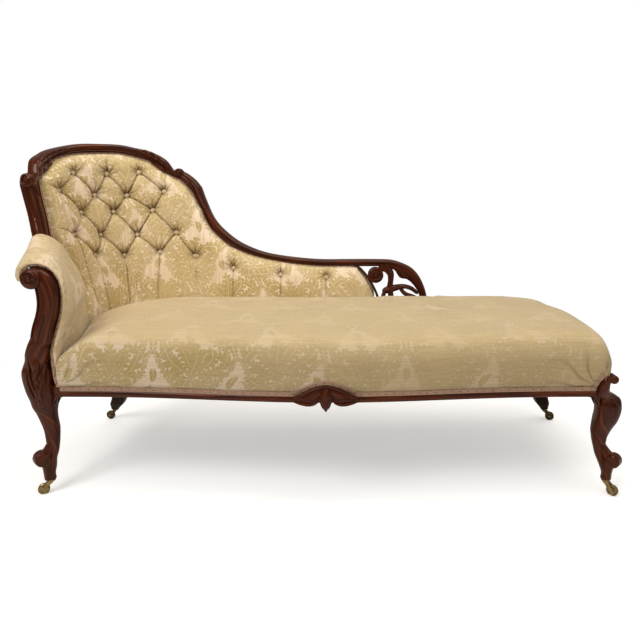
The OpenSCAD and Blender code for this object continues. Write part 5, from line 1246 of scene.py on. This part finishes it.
def front_rail():
    """Serpentine front rail with its rounded moulding, and a small bracket at each leg."""
    x = np.linspace(-FRONT_END, FRONT_END, 420)[:, None]
    out, high = rail_section().T[:, None]
    y = front_y(x)
    tx, ty = np.gradient(x[:, 0])[:, None], np.gradient(y[:, 0])[:, None]
    size = np.hypot(tx, ty)
    # The bead turns with the curve and dies away towards the legs
    fade = np.clip((FRONT_END - np.abs(x)) / 12, 0, 1)
    rings = np.stack([x + out.clip(0, None) * ty / size * fade,
                      y - out * np.where(out > 0, tx / size, 1.0), high + 0 * x], -1)
    parts = [loft(rings), rail_bracket(HEAD_X + 0.53 * LEG_W, 1), rail_bracket(END_X - 0.67 * LEG_W, -1)]
    return piece("front_rail", parts, "mahogany", "front_seat_rail")


def end_rail():
    """Rail at the foot end with the same moulding."""
    y = np.linspace(END_RAIL_Y, 488.7, 60)[:, None]
    out, high = rail_section().T[:, None]
    rings = np.stack(np.broadcast_arrays(FOOT_X + out, y, high), -1)
    return piece("end_rail", [loft(rings)], "mahogany", "foot_end_rail")


def apron():
    """Carved crest at the middle of the front rail: arched plate, hanging leaf, scrolls."""
    half, high = 88.0, 56.0
    # Rows of height and half width, as shares of the plate's own
    right = [(-0.34, 0.0), (-0.16, 0.12), (0.12, 0.20), (0.06, 0.30), (-0.03, 0.46), (-0.02, 0.64),
             (0.22, 0.84), (0.34, 1.0), (0.50, 0.70), (0.76, 0.38), (0.98, 0.0)]
    edge = spline([(s * half, RAIL_Z + v * high) for v, s in right], 60)
    outline = np.concatenate([edge, (edge[1:-1] * (-1, 1))[::-1]])
    middle = np.array([0, RAIL_Z + high * 0.36])
    steps = [(1.0, -54.6), (1.0, -63.0), (0.97, -65.2), (0.93, -66.0), (0.4, -66.3)]
    rings = np.stack([np.insert(mix(middle, outline, k), 1, y, axis=1) for k, y in steps])
    parts = [loft(rings + [APRON_X, 0, 0])]
    face = lambda a, b, h: np.stack([APRON_X + a, -65.6 - h + 0 * a, RAIL_Z + b], -1)
    parts.append(relief([(0, 49), (0, 30), (0, 6), (0, -18)], 34, 10, face, vein=0.10, count=60, blunt=0.62))
    for side in (-1, 1):
        for path, width, height, count, blunt in (
                ([(4, 42), (8, 30), (8, 12), (3, -7)], 5.5, 12, 50, 0.45),
                ([(92, 10), (66, 27), (34, 44), (2, 52)], 7.5, 6, 80, 0.15),
                ([(86, 9), (62, 3), (40, 1), (24, 8), (17, 24)], 9, 7, 80, 0.3),
                ([(76, 13), (52, 16), (32, 14), (20, 24)], 7, 2.5, 50, 0.45)):
            parts.append(relief(path, width, height, face, count=count, blunt=blunt, hand=side))
    return piece("apron_crest", parts, "mahogany", "apron_carving")


# Upholstery

def back_upholstery():
    """Buttoned back: one stuffed shape with its pleats, pits and gathers, in damask."""
    rows = 290
    u, z, over = back_grid(580, rows)
    s = true_run(u)
    inset, painted_shade = back_inset(u, z, over, s - s[:1], s[-1:] - s)
    # The hidden rear needs only one row in thirty
    around = lambda front, rear: np.concatenate([front, rear[:, ::-1][:, ::30]], axis=1)
    close = lambda rings: np.concatenate([rings, rings[:, :1]], axis=1)
    ring = around(wall(u, z, inset), wall(u, z, 19.2))
    along, up = around(s, s), around(z, z)
    # The shade field carries the painted shade of the creases; the hidden rear has none
    fields = {"leaf": damask(along + 40, up - 20), "worn": 0.08 + 0.18 * wander(along, up, 260, 12),
              "painted_shade": around(painted_shade, 0 * painted_shade)}
    skin = loft(ring, (close(along), close(up)), fields, split=rows)
    made = piece("back_upholstery", [skin], "damask_back", "back_pad")
    return made


def buttons():
    """Twenty-one buttons covered in the same damask, each a shallow dome with a soft rim."""
    # Rows of share of the radius and height
    profile = np.array([(0.3, -3.0), (0.9, -1.6), (1.0, 0.4), (0.97, 1.8), (0.86, 3.4),
                        (0.66, 4.8), (0.38, 5.8), (0.03, 6.1)])
    share, high = profile[:, :1], profile[:, 1:]
    g = np.linspace(0, 2 * np.pi, 32, endpoint=False)[None, :]
    parts = []
    for place in BUTTONS:
        x = place[0] * BACK_RUN + BUTTON_R * share * np.cos(g)
        z = rise(place[1]) + BUTTON_R * share * np.sin(g)
        rings = wall(x, z, BUTTON_SEAT + high + 0.35 * np.cos(9 * g) * share**3)
        # Each button is darkened a little all over by painted shade
        fields = {"leaf": damask(x + 60, z + 30) - 1.5, "worn": np.full_like(x, 0.4),
                  "painted_shade": np.full_like(x, 0.14)}
        parts.append(loft(rings, None, fields))
    return piece("covered_buttons", parts, "damask_back", "back_buttons")


def arm_upholstery():
    """Scroll-over arm: the outline of its roll carried from the front to the back."""
    count = 64
    front_out, front_in = spline(arm_at(ARM_FRONT, 5.0), count), spline(arm_at(ARM_INSIDE, 5.0), count)
    rear_out, rear_in = spline(arm_back(ARM_REAR), count), spline(arm_back(ARM_REAR_INSIDE), count)
    lip_out, lip_in = spline(arm_at(ARM_FRONT, -6.0), count), spline(arm_at(ARM_INSIDE, -6.0), count)
    rings = []
    for share, y in ((0.55, -6.3), (0.82, -5.6), (0.95, -3.2), (0.995, 0.5)):
        ring = np.concatenate([mix(lip_in, lip_out, share), lip_in[::-1]])
        ring[:, 1] = y
        rings.append(ring)
    k = np.linspace(0, 1, count)
    for t in np.linspace(0, 1, 90):
        o, i = mix(front_out, rear_out, t), mix(front_in, rear_in, t)
        # Cloth gathered towards the front edge and the joint with the back
        fold = 1.5 * np.sin(2 * np.pi * 17 * k + 3 * np.sin(11 * k)) * bell(t, 0.10)
        fold += 1.5 * np.sin(2 * np.pi * 6 * k + 1) * bell(1 - t, 0.18)
        fold = (fold - 0.6 * abs(fold)) * smooth(k * 12) * smooth((1 - k) * 9)
        fold += 8.0 * bell(k - 0.90, 0.15) * (1 - smooth(t * 1.3))
        out = o - i
        out /= np.linalg.norm(out, axis=1)[:, None] + 1e-9
        rings.append(np.concatenate([o + out * fold[:, None], i[::-1]]))
    rings = np.stack(rings)
    u, v = along_and_around(rings, count)
    v = np.repeat(v[len(rings) // 2][None], len(rings), axis=0)
    along, around = u[:, :-1], v[:, :-1]
    share = np.arange(rings.shape[1])[None, :] / count
    # Painted shade in short dark lines across the roll, near its front edge
    wrinkle = np.abs(np.sin(np.pi * 21 * share + 3 * np.sin(9 * share) + along / 30)) ** 0.6
    painted_shade = 0.55 * np.clip(1 - 1.5 * wrinkle, 0, 1) * bell(along - 16, 16)
    fields = {"leaf": damask(around + 150, along + 90), "worn": 0.28 + 0.28 * wander(along, around, 180, 4),
              "painted_shade": painted_shade * smooth((share - 0.3) * 4) * (share < 1)}
    made = piece("arm_upholstery", [loft(rings, (u, v), fields, split=count)], "damask_arm", "arm_pad")
    return made


def seat_upholstery():
    """Sprung seat: domed front edge, level top, worked from its rings."""
    x, y, z = np.moveaxis(seat_rings(560, 260), -1, 0)
    top = smooth((z - 395) / 60)
    # Slow hollows where people sit, fuller at the back and lower at the far foot-end corner
    z = z + top * (2.2 * wander(x, y, 420, 3) - 1.5 * bell(np.hypot((x - 180) / 260, (y - 260) / 150), 1.0))
    z = z + top * 9 * smooth((y - 90) / 280) * (1 - 0.6 * smooth((x - 330) / 120))
    z = z - top * 16 * np.clip((x - 600) / 190, 0, 1) ** 1.5 * smooth((y - 200) / 250)
    # Cloth pulled to the two front corners, in folds that fan out from them
    front = (1 - top) * (y < 60)
    pulls = 0 * x
    for corner in (-742, 742):
        away = np.hypot(x - corner, z - 338)
        angle = np.arctan2(z - 338, np.abs(x - corner))
        fan = np.abs(np.sin(5.5 * angle + 0.5 * np.sin(away / 22))) ** 0.7
        reach = front * smooth((away - 6) / 14) * np.exp(-(away / 120) ** 2)
        y = y - 2.4 * (fan - 0.7) * reach
        # Painted shade along the lines between the fanning folds
        pulls = np.maximum(pulls, 0.6 * np.clip(1 - 1.5 * fan, 0, 1) * reach)
    # Small pulls along the tack line
    low = (1 - smooth((z - 330) / 46)) * (y < 120)
    uneven = (1 - top) * (y < 90) * 0.9 * wander(x, z, 70, 9)
    y = y + low * 0.48 * np.sin(x / 5.2 + 2.4 * np.sin(x / 61)) - uneven
    rings = np.stack([x, y, z], -1)
    step = np.linalg.norm(np.diff(rings, axis=1), axis=2)
    v = np.concatenate([np.zeros((len(rings), 1)), np.cumsum(step, axis=1)], axis=1)
    # Sat on and sunned: the pattern lasts only low at the front, towards the head end
    worn = 0.66 * np.maximum(smooth((x + 330) / 520), 1.14 * smooth((z - 436) / 45)) - 0.10
    worn += 0.26 * wander(x, y + z, 210, 6) - 0.30 * bell(x - 450, 170) * (1 - smooth((z - 350) / 60))
    # Painted shade: the seat's front face darker, more so towards the foot end, and in the corner folds
    fields = {"leaf": damask(x + 30, v + 80), "worn": worn,
              "painted_shade": front * (0.10 + 0.15 * smooth((x + 500) / 700)) + pulls}
    cloth = (np.concatenate([x, x[:, :1]], axis=1), np.concatenate([v, v[:, -1:] + 40], axis=1))
    skin = loft(rings, cloth, fields, split=rings.shape[1] // 2)
    made = piece("seat_upholstery", [skin], "damask_seat", "seat_pad")
    return made


# Trim

def braid(a, b, out):
    """Gimp between two edges: a flat middle with a plaited rib and a twisted cord at each side.

    The edges and the outward direction are arrays of points; the ribs are sine waves
    along the length, opposed at the two cords.
    """
    per = 1.1
    count = int(running((a + b) / 2)[-1] / per)
    a, b, out = np.split(spline(np.concatenate([a, b, out], axis=1), count), 3, axis=1)
    out = out / np.linalg.norm(out, axis=1)[:, None]
    s = np.arange(count)[:, None] * per
    half = [0.0, 0.02, 0.10, 0.18, 0.24, 0.32, 0.42]
    t = np.array(half + [0.5] + [1 - share for share in half[::-1]])[None, :]
    twist = 0.35 * np.sin(2 * np.pi * s / 4.4)
    cords = bell(t - 0.10, 0.08) * (1 + twist) + bell(t - 0.90, 0.08) * (1 - twist)
    middle = bell(t - 0.5, 0.20) * (0.75 + 0.35 * np.cos(2 * np.pi * s / 6.6 + 9 * np.abs(t - 0.5)))
    h = 0.5 + 1.5 * np.maximum(cords, middle)
    top = mix(a[:, None], b[:, None], t[..., None]) + out[:, None] * h[..., None]
    return loft(np.concatenate([top, np.stack([b, a], 1)], axis=1), split=top.shape[1])


def pins(middle, out, every=23.0, radius=1.5):
    """Small domed pin heads at even steps along a line on the gimp."""
    step = running(middle)
    # Rows of share of the radius and height
    share, high = np.array([(1.0, 0.0), (1.0, 1.6), (0.9, 2.3), (0.6, 2.9), (0.1, 3.1)]).T[:, :, None, None]
    g = np.linspace(0, 2 * np.pi, 10, endpoint=False)[None, :, None]
    parts = []
    for d in np.arange(every / 2, step[-1], every):
        c, n = (np.array([np.interp(d, step, line[:, k]) for k in range(3)]) for line in (middle, out))
        n /= np.linalg.norm(n)
        side = np.cross(n, [0.3, 0.2, 0.93])
        side /= np.linalg.norm(side)
        across = np.cos(g) * side + np.sin(g) * np.cross(side, n)
        parts.append(loft(c + share * radius * across + high * n))
    return parts


def trims():
    """Gimp along the back's rebate, round the arm's front and under the seat, with pins.

    Every strip is its two edges and its outward direction.
    """
    def strip(low, high, out=(0.0, -1.0, 0.0)):
        """The two edges, with the outward direction for every point."""
        return low, high, np.broadcast_to(np.array(out), low.shape)

    seam = np.concatenate([STILE[2:], CREST[1:], SWEEP[1:13], [[0.808, 0.435, 0.808, 0.402]]])
    st = spline(seam * EDGE_SCALE, 300) / EDGE_SCALE
    edge = lambda k, d: mix(spot(st[:, 0], st[:, 1], d), spot(st[:, 2], st[:, 3], d), k)
    back = strip(edge(0.86, 25.0), edge(1.08, 26.0), edge(0.9, 30.0) - edge(0.9, 20.0))
    front_line = spline([(0.84, -0.185), (0.74, -0.09)] + ARM_FRONT[1:], 180)
    inside_line = spline([(0.60, -0.185), (0.55, -0.09)] + ARM_INSIDE[1:], 180)
    ring = lambda k: mix(arm_at(inside_line, -6.4), arm_at(front_line, -6.4), k)
    arm = strip(ring(0.04), ring(0.48))
    # Along the front in two runs with the apron between them, and along the foot end
    xs = np.linspace(-FRONT_END + 0.5, FRONT_END - 0.4, 240)
    flat = lambda x, z: np.stack([x, front_y(x) - 4.2, np.full_like(x, z)], -1)
    low, high = 319.6, 332.2
    runs = [strip(flat(x, low), flat(x, high)) for x in (xs[xs < -86.5], xs[xs > 75.0])]
    ys = np.linspace(46.6, 488.4, 60)
    end = lambda z: np.stack([np.full_like(ys, 779.2), ys, np.full_like(ys, z)], -1)
    foot = strip(end(low), end(high), (1.0, 0.0, 0.0))
    # Over the apron and up beside the foot leg, where the seat's cloth bulges
    shares = [(0.0, 0.2), (0.075, 0.35), (0.115, 0.56), (0.22, 0.87), (0.38, 1.0)]
    bulge = lambda z: PAD_OUT * look(shares, (z - PAD_LOW) / (SEAT_Z - PAD_LOW))
    arch = spline([(-98, 22), (-66, 38), (-33, 55), (0, 62), (33, 55), (66, 38), (92, 22)], 90)
    _, up = frames_along(arch)

    def over_apron(by):
        """Edge of the gimp over the apron, moved off its arch."""
        x, z = (arch + up * by + [0, RAIL_Z]).T
        return np.stack([APRON_X + x, front_y(x) - 1.4 - bulge(z), z], -1)

    z, *sides = spline([(322, 737, 748), (340, 738, 750), (356, 742, 754), (374, 750, 762)], 40).T
    crest = strip(over_apron(-6.0), over_apron(5.0))
    corner = strip(*[np.stack([x, front_y(x) - 1.6 - bulge(z), z], -1) for x in sides])
    heads = [pins((low + high) / 2, out) for low, high, out in (back, arm, foot, crest, corner, *runs)]
    return [piece("back_braid", [braid(*back)], "gimp", "back_gimp"),
            piece("arm_braid", [braid(*arm)], "gimp", "arm_gimp"),
            piece("seat_braid", [braid(*part) for part in (*runs, foot, crest, corner)], "gimp", "seat_gimp"),
            piece("gimp_pins", sum(heads, []), "tacks")]


def thin(outer, inner):
    """Closed skin of a sheet from its two faces, each of shape (columns, rows, 3)."""
    return loft(np.concatenate([outer, inner[:, ::-1]], axis=1), split=outer.shape[1])


def between(top, foot, at):
    """Area in square metres of a strip between two edges, by the trapezium rule."""
    high = top - foot
    return float(((high[1:] + high[:-1]) / 2 * np.diff(at)).sum()) * MM**2


def covers():
    """Outside cloths of the back and the arm, and the bottoming cloth, each stretched flat."""
    low = RAIL_Z + 8
    outer = np.array([row[:2] for row in STILE[3:] + CREST[1:] + SWEEP[1:13]])
    u = np.linspace(-0.004, 0.998, 260)
    under_bracket = (0.8655, 0.127)
    high = rise(np.where(u < under_bracket[0], look(outer, u), under_bracket[1]) - 0.012)
    at_post = look([row[:2] for row in POST[:-1]] + [(0.880, 0.115)], u)
    high = np.minimum(high, rise(np.where(u > POST[0][0], at_post, 2.0)))
    us = u[:, None] * BACK_RUN
    zs = mix(low, high[:, None], np.linspace(0, 1, 40)[None, :])
    skin = thin(wall(us, zs, -0.8), wall(us, zs, -2.0))
    made = piece("outside_back", [skin], "damask_back", "outside_back_cover")
    # Its run is 2% longer at the outer face than along the upholstery
    area = between(high, low, true_run(us[:, 0]) * 1.02)
    front = [(0.36, 0.735), (0.405, 0.60), (0.31, 0.445), (0.145, 0.29), (-0.025, 0.137), (-0.055, 0.03)]
    leg_y = 71.3
    edge = [arm_at([p], 12.3 if p[1] > 0.2 else leg_y)[0] for p in front]
    edge.append((wall(0, low, -0.3)[0], leg_y, low))
    corner_u = -0.004 * BACK_RUN - 0.3
    rear = wall(corner_u, [*rise([0.50, 0.45, 0.38, 0.30, 0.20, 0.13]), low], -0.3)
    face = mix(spline(edge, 60), spline(rear, 60), np.linspace(0, 1, 40)[:, None, None])
    skin = thin(face - [1.4, 0, 0], face - [0.2, 0, 0])
    arm = piece("outside_arm", [skin], "damask_arm", "arm_outside_cover")
    area = between(np.linalg.norm(face[-1] - face[0], axis=1), 0, running(face[20]))
    return [made, arm, bottoming()]


def bottoming():
    """Black cloth tacked under the frame, cut round the legs, hanging a little between."""
    inside, leg = 12.0, 73.6
    curve = lambda a, b, d, n: wall(np.linspace(a, b, n) * BACK_RUN, RAIL_Z, d)[:, :2]
    far = np.concatenate([curve(-0.0784, 0.160, inside, 40), curve(0.180, 0.237, 70.4, 4),
                          curve(0.257, CORNER_SHARE, inside, 12), [(FOOT_X - leg, REAR_Y - inside),
                          (FOOT_X - leg + 0.4, REAR_Y - leg), (FOOT_X - inside, REAR_Y - leg)]])
    x = np.linspace(far[1, 0] + 0.4, FOOT_X - inside, 220)
    near = np.where(np.abs(x) < FRONT_END - 0.2 * LEG_W, front_y(x) + inside, 76.0)
    back = look(far, x)
    k = np.linspace(0, 1, 50)[None, :]
    along = ((x - x[0]) / (x[-1] - x[0]))[:, None]
    hang = 4.0 * np.sin(np.pi * k) * np.sin(np.pi * along) ** 0.7
    sheet = np.stack(np.broadcast_arrays(x[:, None], mix(near[:, None], back[:, None], k), 297.1 - hang), -1)
    made = piece("bottoming_cloth", [thin(sheet, sheet + [0, 0, 1.0])], "bottoming", "dust_cover")
    between(back, near, x)
    return made


# Frame pieces that show as they are, and their finish
FRONT, REAR = ("head_front", "foot_front"), ("head_rear", "foot_rear")
CAST = ("_plate", "_fork", "_wheel")
AS_MADE = {"beech": ["rear_seat_rail", "head_end_rail", "corner_blocks", "cross_stretcher",
                     "back_uprights", "back_tacking_rail", "arm_roll_rail", "arm_tacking_rail"],
           "jute": ["seat_webbing", "back_webbing", "seat_hessian", "back_hessian", "arm_hessian"],
           "steel": ["seat_springs"] + [corner + "_axle" for corner in FRONT + REAR],
           "brass": [corner + part for corner in FRONT for part in CAST],
           # Rear casters in the darker brass: painted shade
           "brass_painted_shade": [corner + part for corner in REAR for part in CAST]}


def paint_frame():
    """Gives the frame's own pieces their finish."""
    done = []
    for key, names in AS_MADE.items():
        for name in names:
            owner = bpy.data.objects.get(name)
            if owner is None:
                raise RuntimeError("the frame has no piece named " + name)
            for each in [owner, *owner.children_recursive]:
                if each.type == "MESH":
                    each.data.materials.clear()
                    each.data.materials.append(finish_of(key))
                    done.append(each)
    return done


# Stage

def floor_material():
    """Floor that keeps its soft shadow near the couch and goes white to the camera beyond."""
    mat = bpy.data.materials.new("studio_floor")
    tree = blank_tree(mat)
    add = lambda kind, inputs=None, **settings: node(tree, "ShaderNode" + kind, inputs, **settings)
    diffuse = add("BsdfDiffuse", {"Color": srgb("#f4f3f1")}).outputs[0]
    glow = add("Emission", {"Color": srgb("#ffffff"), "Strength": 0.42}).outputs[0]
    lit = add("AddShader", {0: diffuse, 1: glow}).outputs[0]
    bright = add("Emission", {"Color": srgb("#ffffff"), "Strength": 1.0}).outputs[0]
    place = add("TexCoord").outputs["Object"]
    away = add("VectorMath", {0: place}, operation="LENGTH").outputs["Value"]
    far = add("MapRange", {"Value": away, "From Min": 0.9, "From Max": 1.9},
              interpolation_type="SMOOTHSTEP").outputs[0]
    both = add("MixShader", {0: far, 1: lit, 2: bright}).outputs[0]
    camera = add("LightPath").outputs["Is Camera Ray"]
    seen = add("MixShader", {0: camera, 1: diffuse, 2: both}).outputs[0]
    add("OutputMaterial", {"Surface": seen})
    return mat


# Lights: name, place, aim, size in metres and watts
LIGHTS = [("key", (-1.7, -2.2, 3.3), (0, 0, 0.5), 1.5, 66), ("fill", (2.6, -2.6, 2.2), (0, 0, 0.4), 2.6, 13),
          ("top", (0.3, -0.1, 3.2), (0, 0.1, 0.4), 2.2, 54),
          ("glint", (-1.5, -2.5, 1.5), (0, 0, 0.5), 0.30, 4)]
# Camera as fitted to the photo: place in millimetres on the couch's axes, tilt in degrees
CAMERA_AT, CAMERA_DOWN = np.array([16.6, -1518.3, 890.7]), 11
LENS, SENSOR, SHIFT_X, SHIFT_Y = 32.06, 36.0, -0.022, -0.041


def studio():
    """Pale floor, white surround, soft lights and the camera."""
    scene = bpy.context.scene

    def add(name, data):
        """Object in the scene for the given data."""
        made = bpy.data.objects.new(name, data)
        scene.collection.objects.link(made)
        return made

    mesh = bpy.data.meshes.new("floor")
    mesh.from_pydata([(-9, -9, 0), (9, -9, 0), (9, 9, 0), (-9, 9, 0)], [], [(0, 1, 2, 3)])
    mesh.materials.append(floor_material())
    floor = add("floor", mesh)
    scene.world = bpy.data.worlds.new("studio")
    tree = blank_tree(scene.world)
    path = node(tree, "ShaderNodeLightPath")
    soft = node(tree, "ShaderNodeBackground", {"Color": srgb("#efe6da"), "Strength": 0.40})
    seen = node(tree, "ShaderNodeBackground", {"Color": srgb("#ffffff"), "Strength": 1.0})
    pick = node(tree, "ShaderNodeMixShader", {0: path.outputs["Is Camera Ray"], 1: soft.outputs[0],
                                              2: seen.outputs[0]})
    node(tree, "ShaderNodeOutputWorld", {"Surface": pick.outputs[0]})
    for name, place, aim, size, watts in LIGHTS:
        data = bpy.data.lights.new(name, "AREA")
        data.shape, data.size, data.energy = "SQUARE", size, watts
        lamp = add(name, data)
        lamp.location = place
        lamp.rotation_euler = (Vector(aim) - Vector(place)).to_track_quat("-Z", "Y").to_euler()
    cam = bpy.data.cameras.new("camera")
    cam.lens, cam.sensor_width, cam.shift_x, cam.shift_y = LENS, SENSOR, SHIFT_X, SHIFT_Y
    eye = add("camera", cam)
    eye.location = (CAMERA_AT + SHIFT) * MM
    eye.rotation_euler = (math.radians(90 - CAMERA_DOWN), 0, 0)
    scene.camera = eye
    scene.view_settings.view_transform = "Standard"
    return floor


# Add-on

def length_of(name, text, default, least, most):
    """A length that the user can change, in metres."""
    return bpy.props.FloatProperty(
        name=name, description=text, default=default, min=least, max=most, unit="LENGTH")


def colour_of(name, text, code):
    """A colour that the user can change, as an sRGB hex value."""
    return bpy.props.StringProperty(name=name, description=text, default=code)


class CouchSizes(bpy.types.PropertyGroup):
    """Sizes of the dressing."""
    pleat_depth: length_of("Pleat depth", "Depth of the folds between the buttons", 0.0095, 0.002, 0.016)
    button_pull: length_of("Button pull", "How far the buttons are drawn in", 0.019, 0.005, 0.022)
    rib_pitch: length_of("Rib pitch", "Distance between the ribs of the damask", 0.0034, 0.001, 0.008)


class CouchColours(bpy.types.PropertyGroup):
    """Colours of the finishes."""
    ground: colour_of("Damask ground", "Ribbed ground of the cloth", "#dcc9b0")
    rib: colour_of("Damask rib", "Darker thread between the ribs", "#a98d68")
    leaf: colour_of("Damask leaf", "Woven leaves", "#937b3a")
    leaf_light: colour_of("Damask leaf light", "Lighter thread in the leaves", "#ad9650")
    stain: colour_of("Faded cloth", "Faded and soiled patches", "#bda676")
    faded: colour_of("Worn cloth", "Cloth whose pattern has worn away", "#c3ab79")
    slub: colour_of("Slubs", "Uneven thicker threads", "#9f8760")
    # Colour of the painted shade in the cloth's folds, creases and pits
    fold: colour_of("Folds", "Painted shade in the folds of the cloth", "#58421f")
    gimp: colour_of("Gimp", "Braid that hides the tacks", "#b9957a")
    wood_dark: colour_of("Wood dark", "Dark grain of the mahogany", "#1f0904")
    wood_middle: colour_of("Wood middle", "Body colour of the mahogany", "#4c200c")
    wood_light: colour_of("Wood light", "Light grain of the mahogany", "#84441b")


def make_operator(build):
    """Operator class that builds one piece or group, named and described by its function."""
    label = build.__name__.replace("_", " ").capitalize()

    def execute(self, context):
        """Builds it, and fails aloud where nothing was made."""
        if not build():
            raise RuntimeError(label + " made nothing")
        return {"FINISHED"}

    members = {"bl_idname": "couch." + build.__name__, "bl_label": label, "__doc__": build.__doc__,
               "execute": execute}
    return type("COUCH_OT_" + build.__name__, (bpy.types.Operator,), members)


STEPS = (paint_frame, head_leg, foot_leg, rear_legs, show_wood, front_rail, end_rail, apron,
         back_upholstery, buttons, arm_upholstery, seat_upholstery, trims, covers, studio)
OPERATORS = [make_operator(build) for build in STEPS]


class COUCH_PT_panel(bpy.types.Panel):
    """Sidebar panel with the couch's sizes, colours and steps."""
    bl_idname = "COUCH_PT_panel"
    bl_label = "Fainting couch"
    bl_space_type = "VIEW_3D"
    bl_region_type = "UI"
    bl_category = "Couch"

    def draw(self, context):
        """Shows the sizes, the colours and one button for each step."""
        for group in (context.scene.couch_sizes, context.scene.couch_colours):
            for key in group.__annotations__:
                self.layout.prop(group, key)
        for made in OPERATORS:
            self.layout.operator(made.bl_idname)


CLASSES = [CouchSizes, CouchColours, *OPERATORS, COUCH_PT_panel]


def register():
    """Adds the classes and their settings to the scene."""
    for cls in CLASSES:
        bpy.utils.register_class(cls)
    bpy.types.Scene.couch_sizes = bpy.props.PointerProperty(type=CouchSizes)
    bpy.types.Scene.couch_colours = bpy.props.PointerProperty(type=CouchColours)


def unregister():
    """Removes what register added."""
    del bpy.types.Scene.couch_colours
    del bpy.types.Scene.couch_sizes
    for cls in reversed(CLASSES):
        bpy.utils.unregister_class(cls)


def main():
    """Builds every piece in order and writes the sizes before and after dressing."""
    register()
    for build in STEPS:
        getattr(bpy.ops.couch, build.__name__)()


if __name__ == "__main__":
    main()
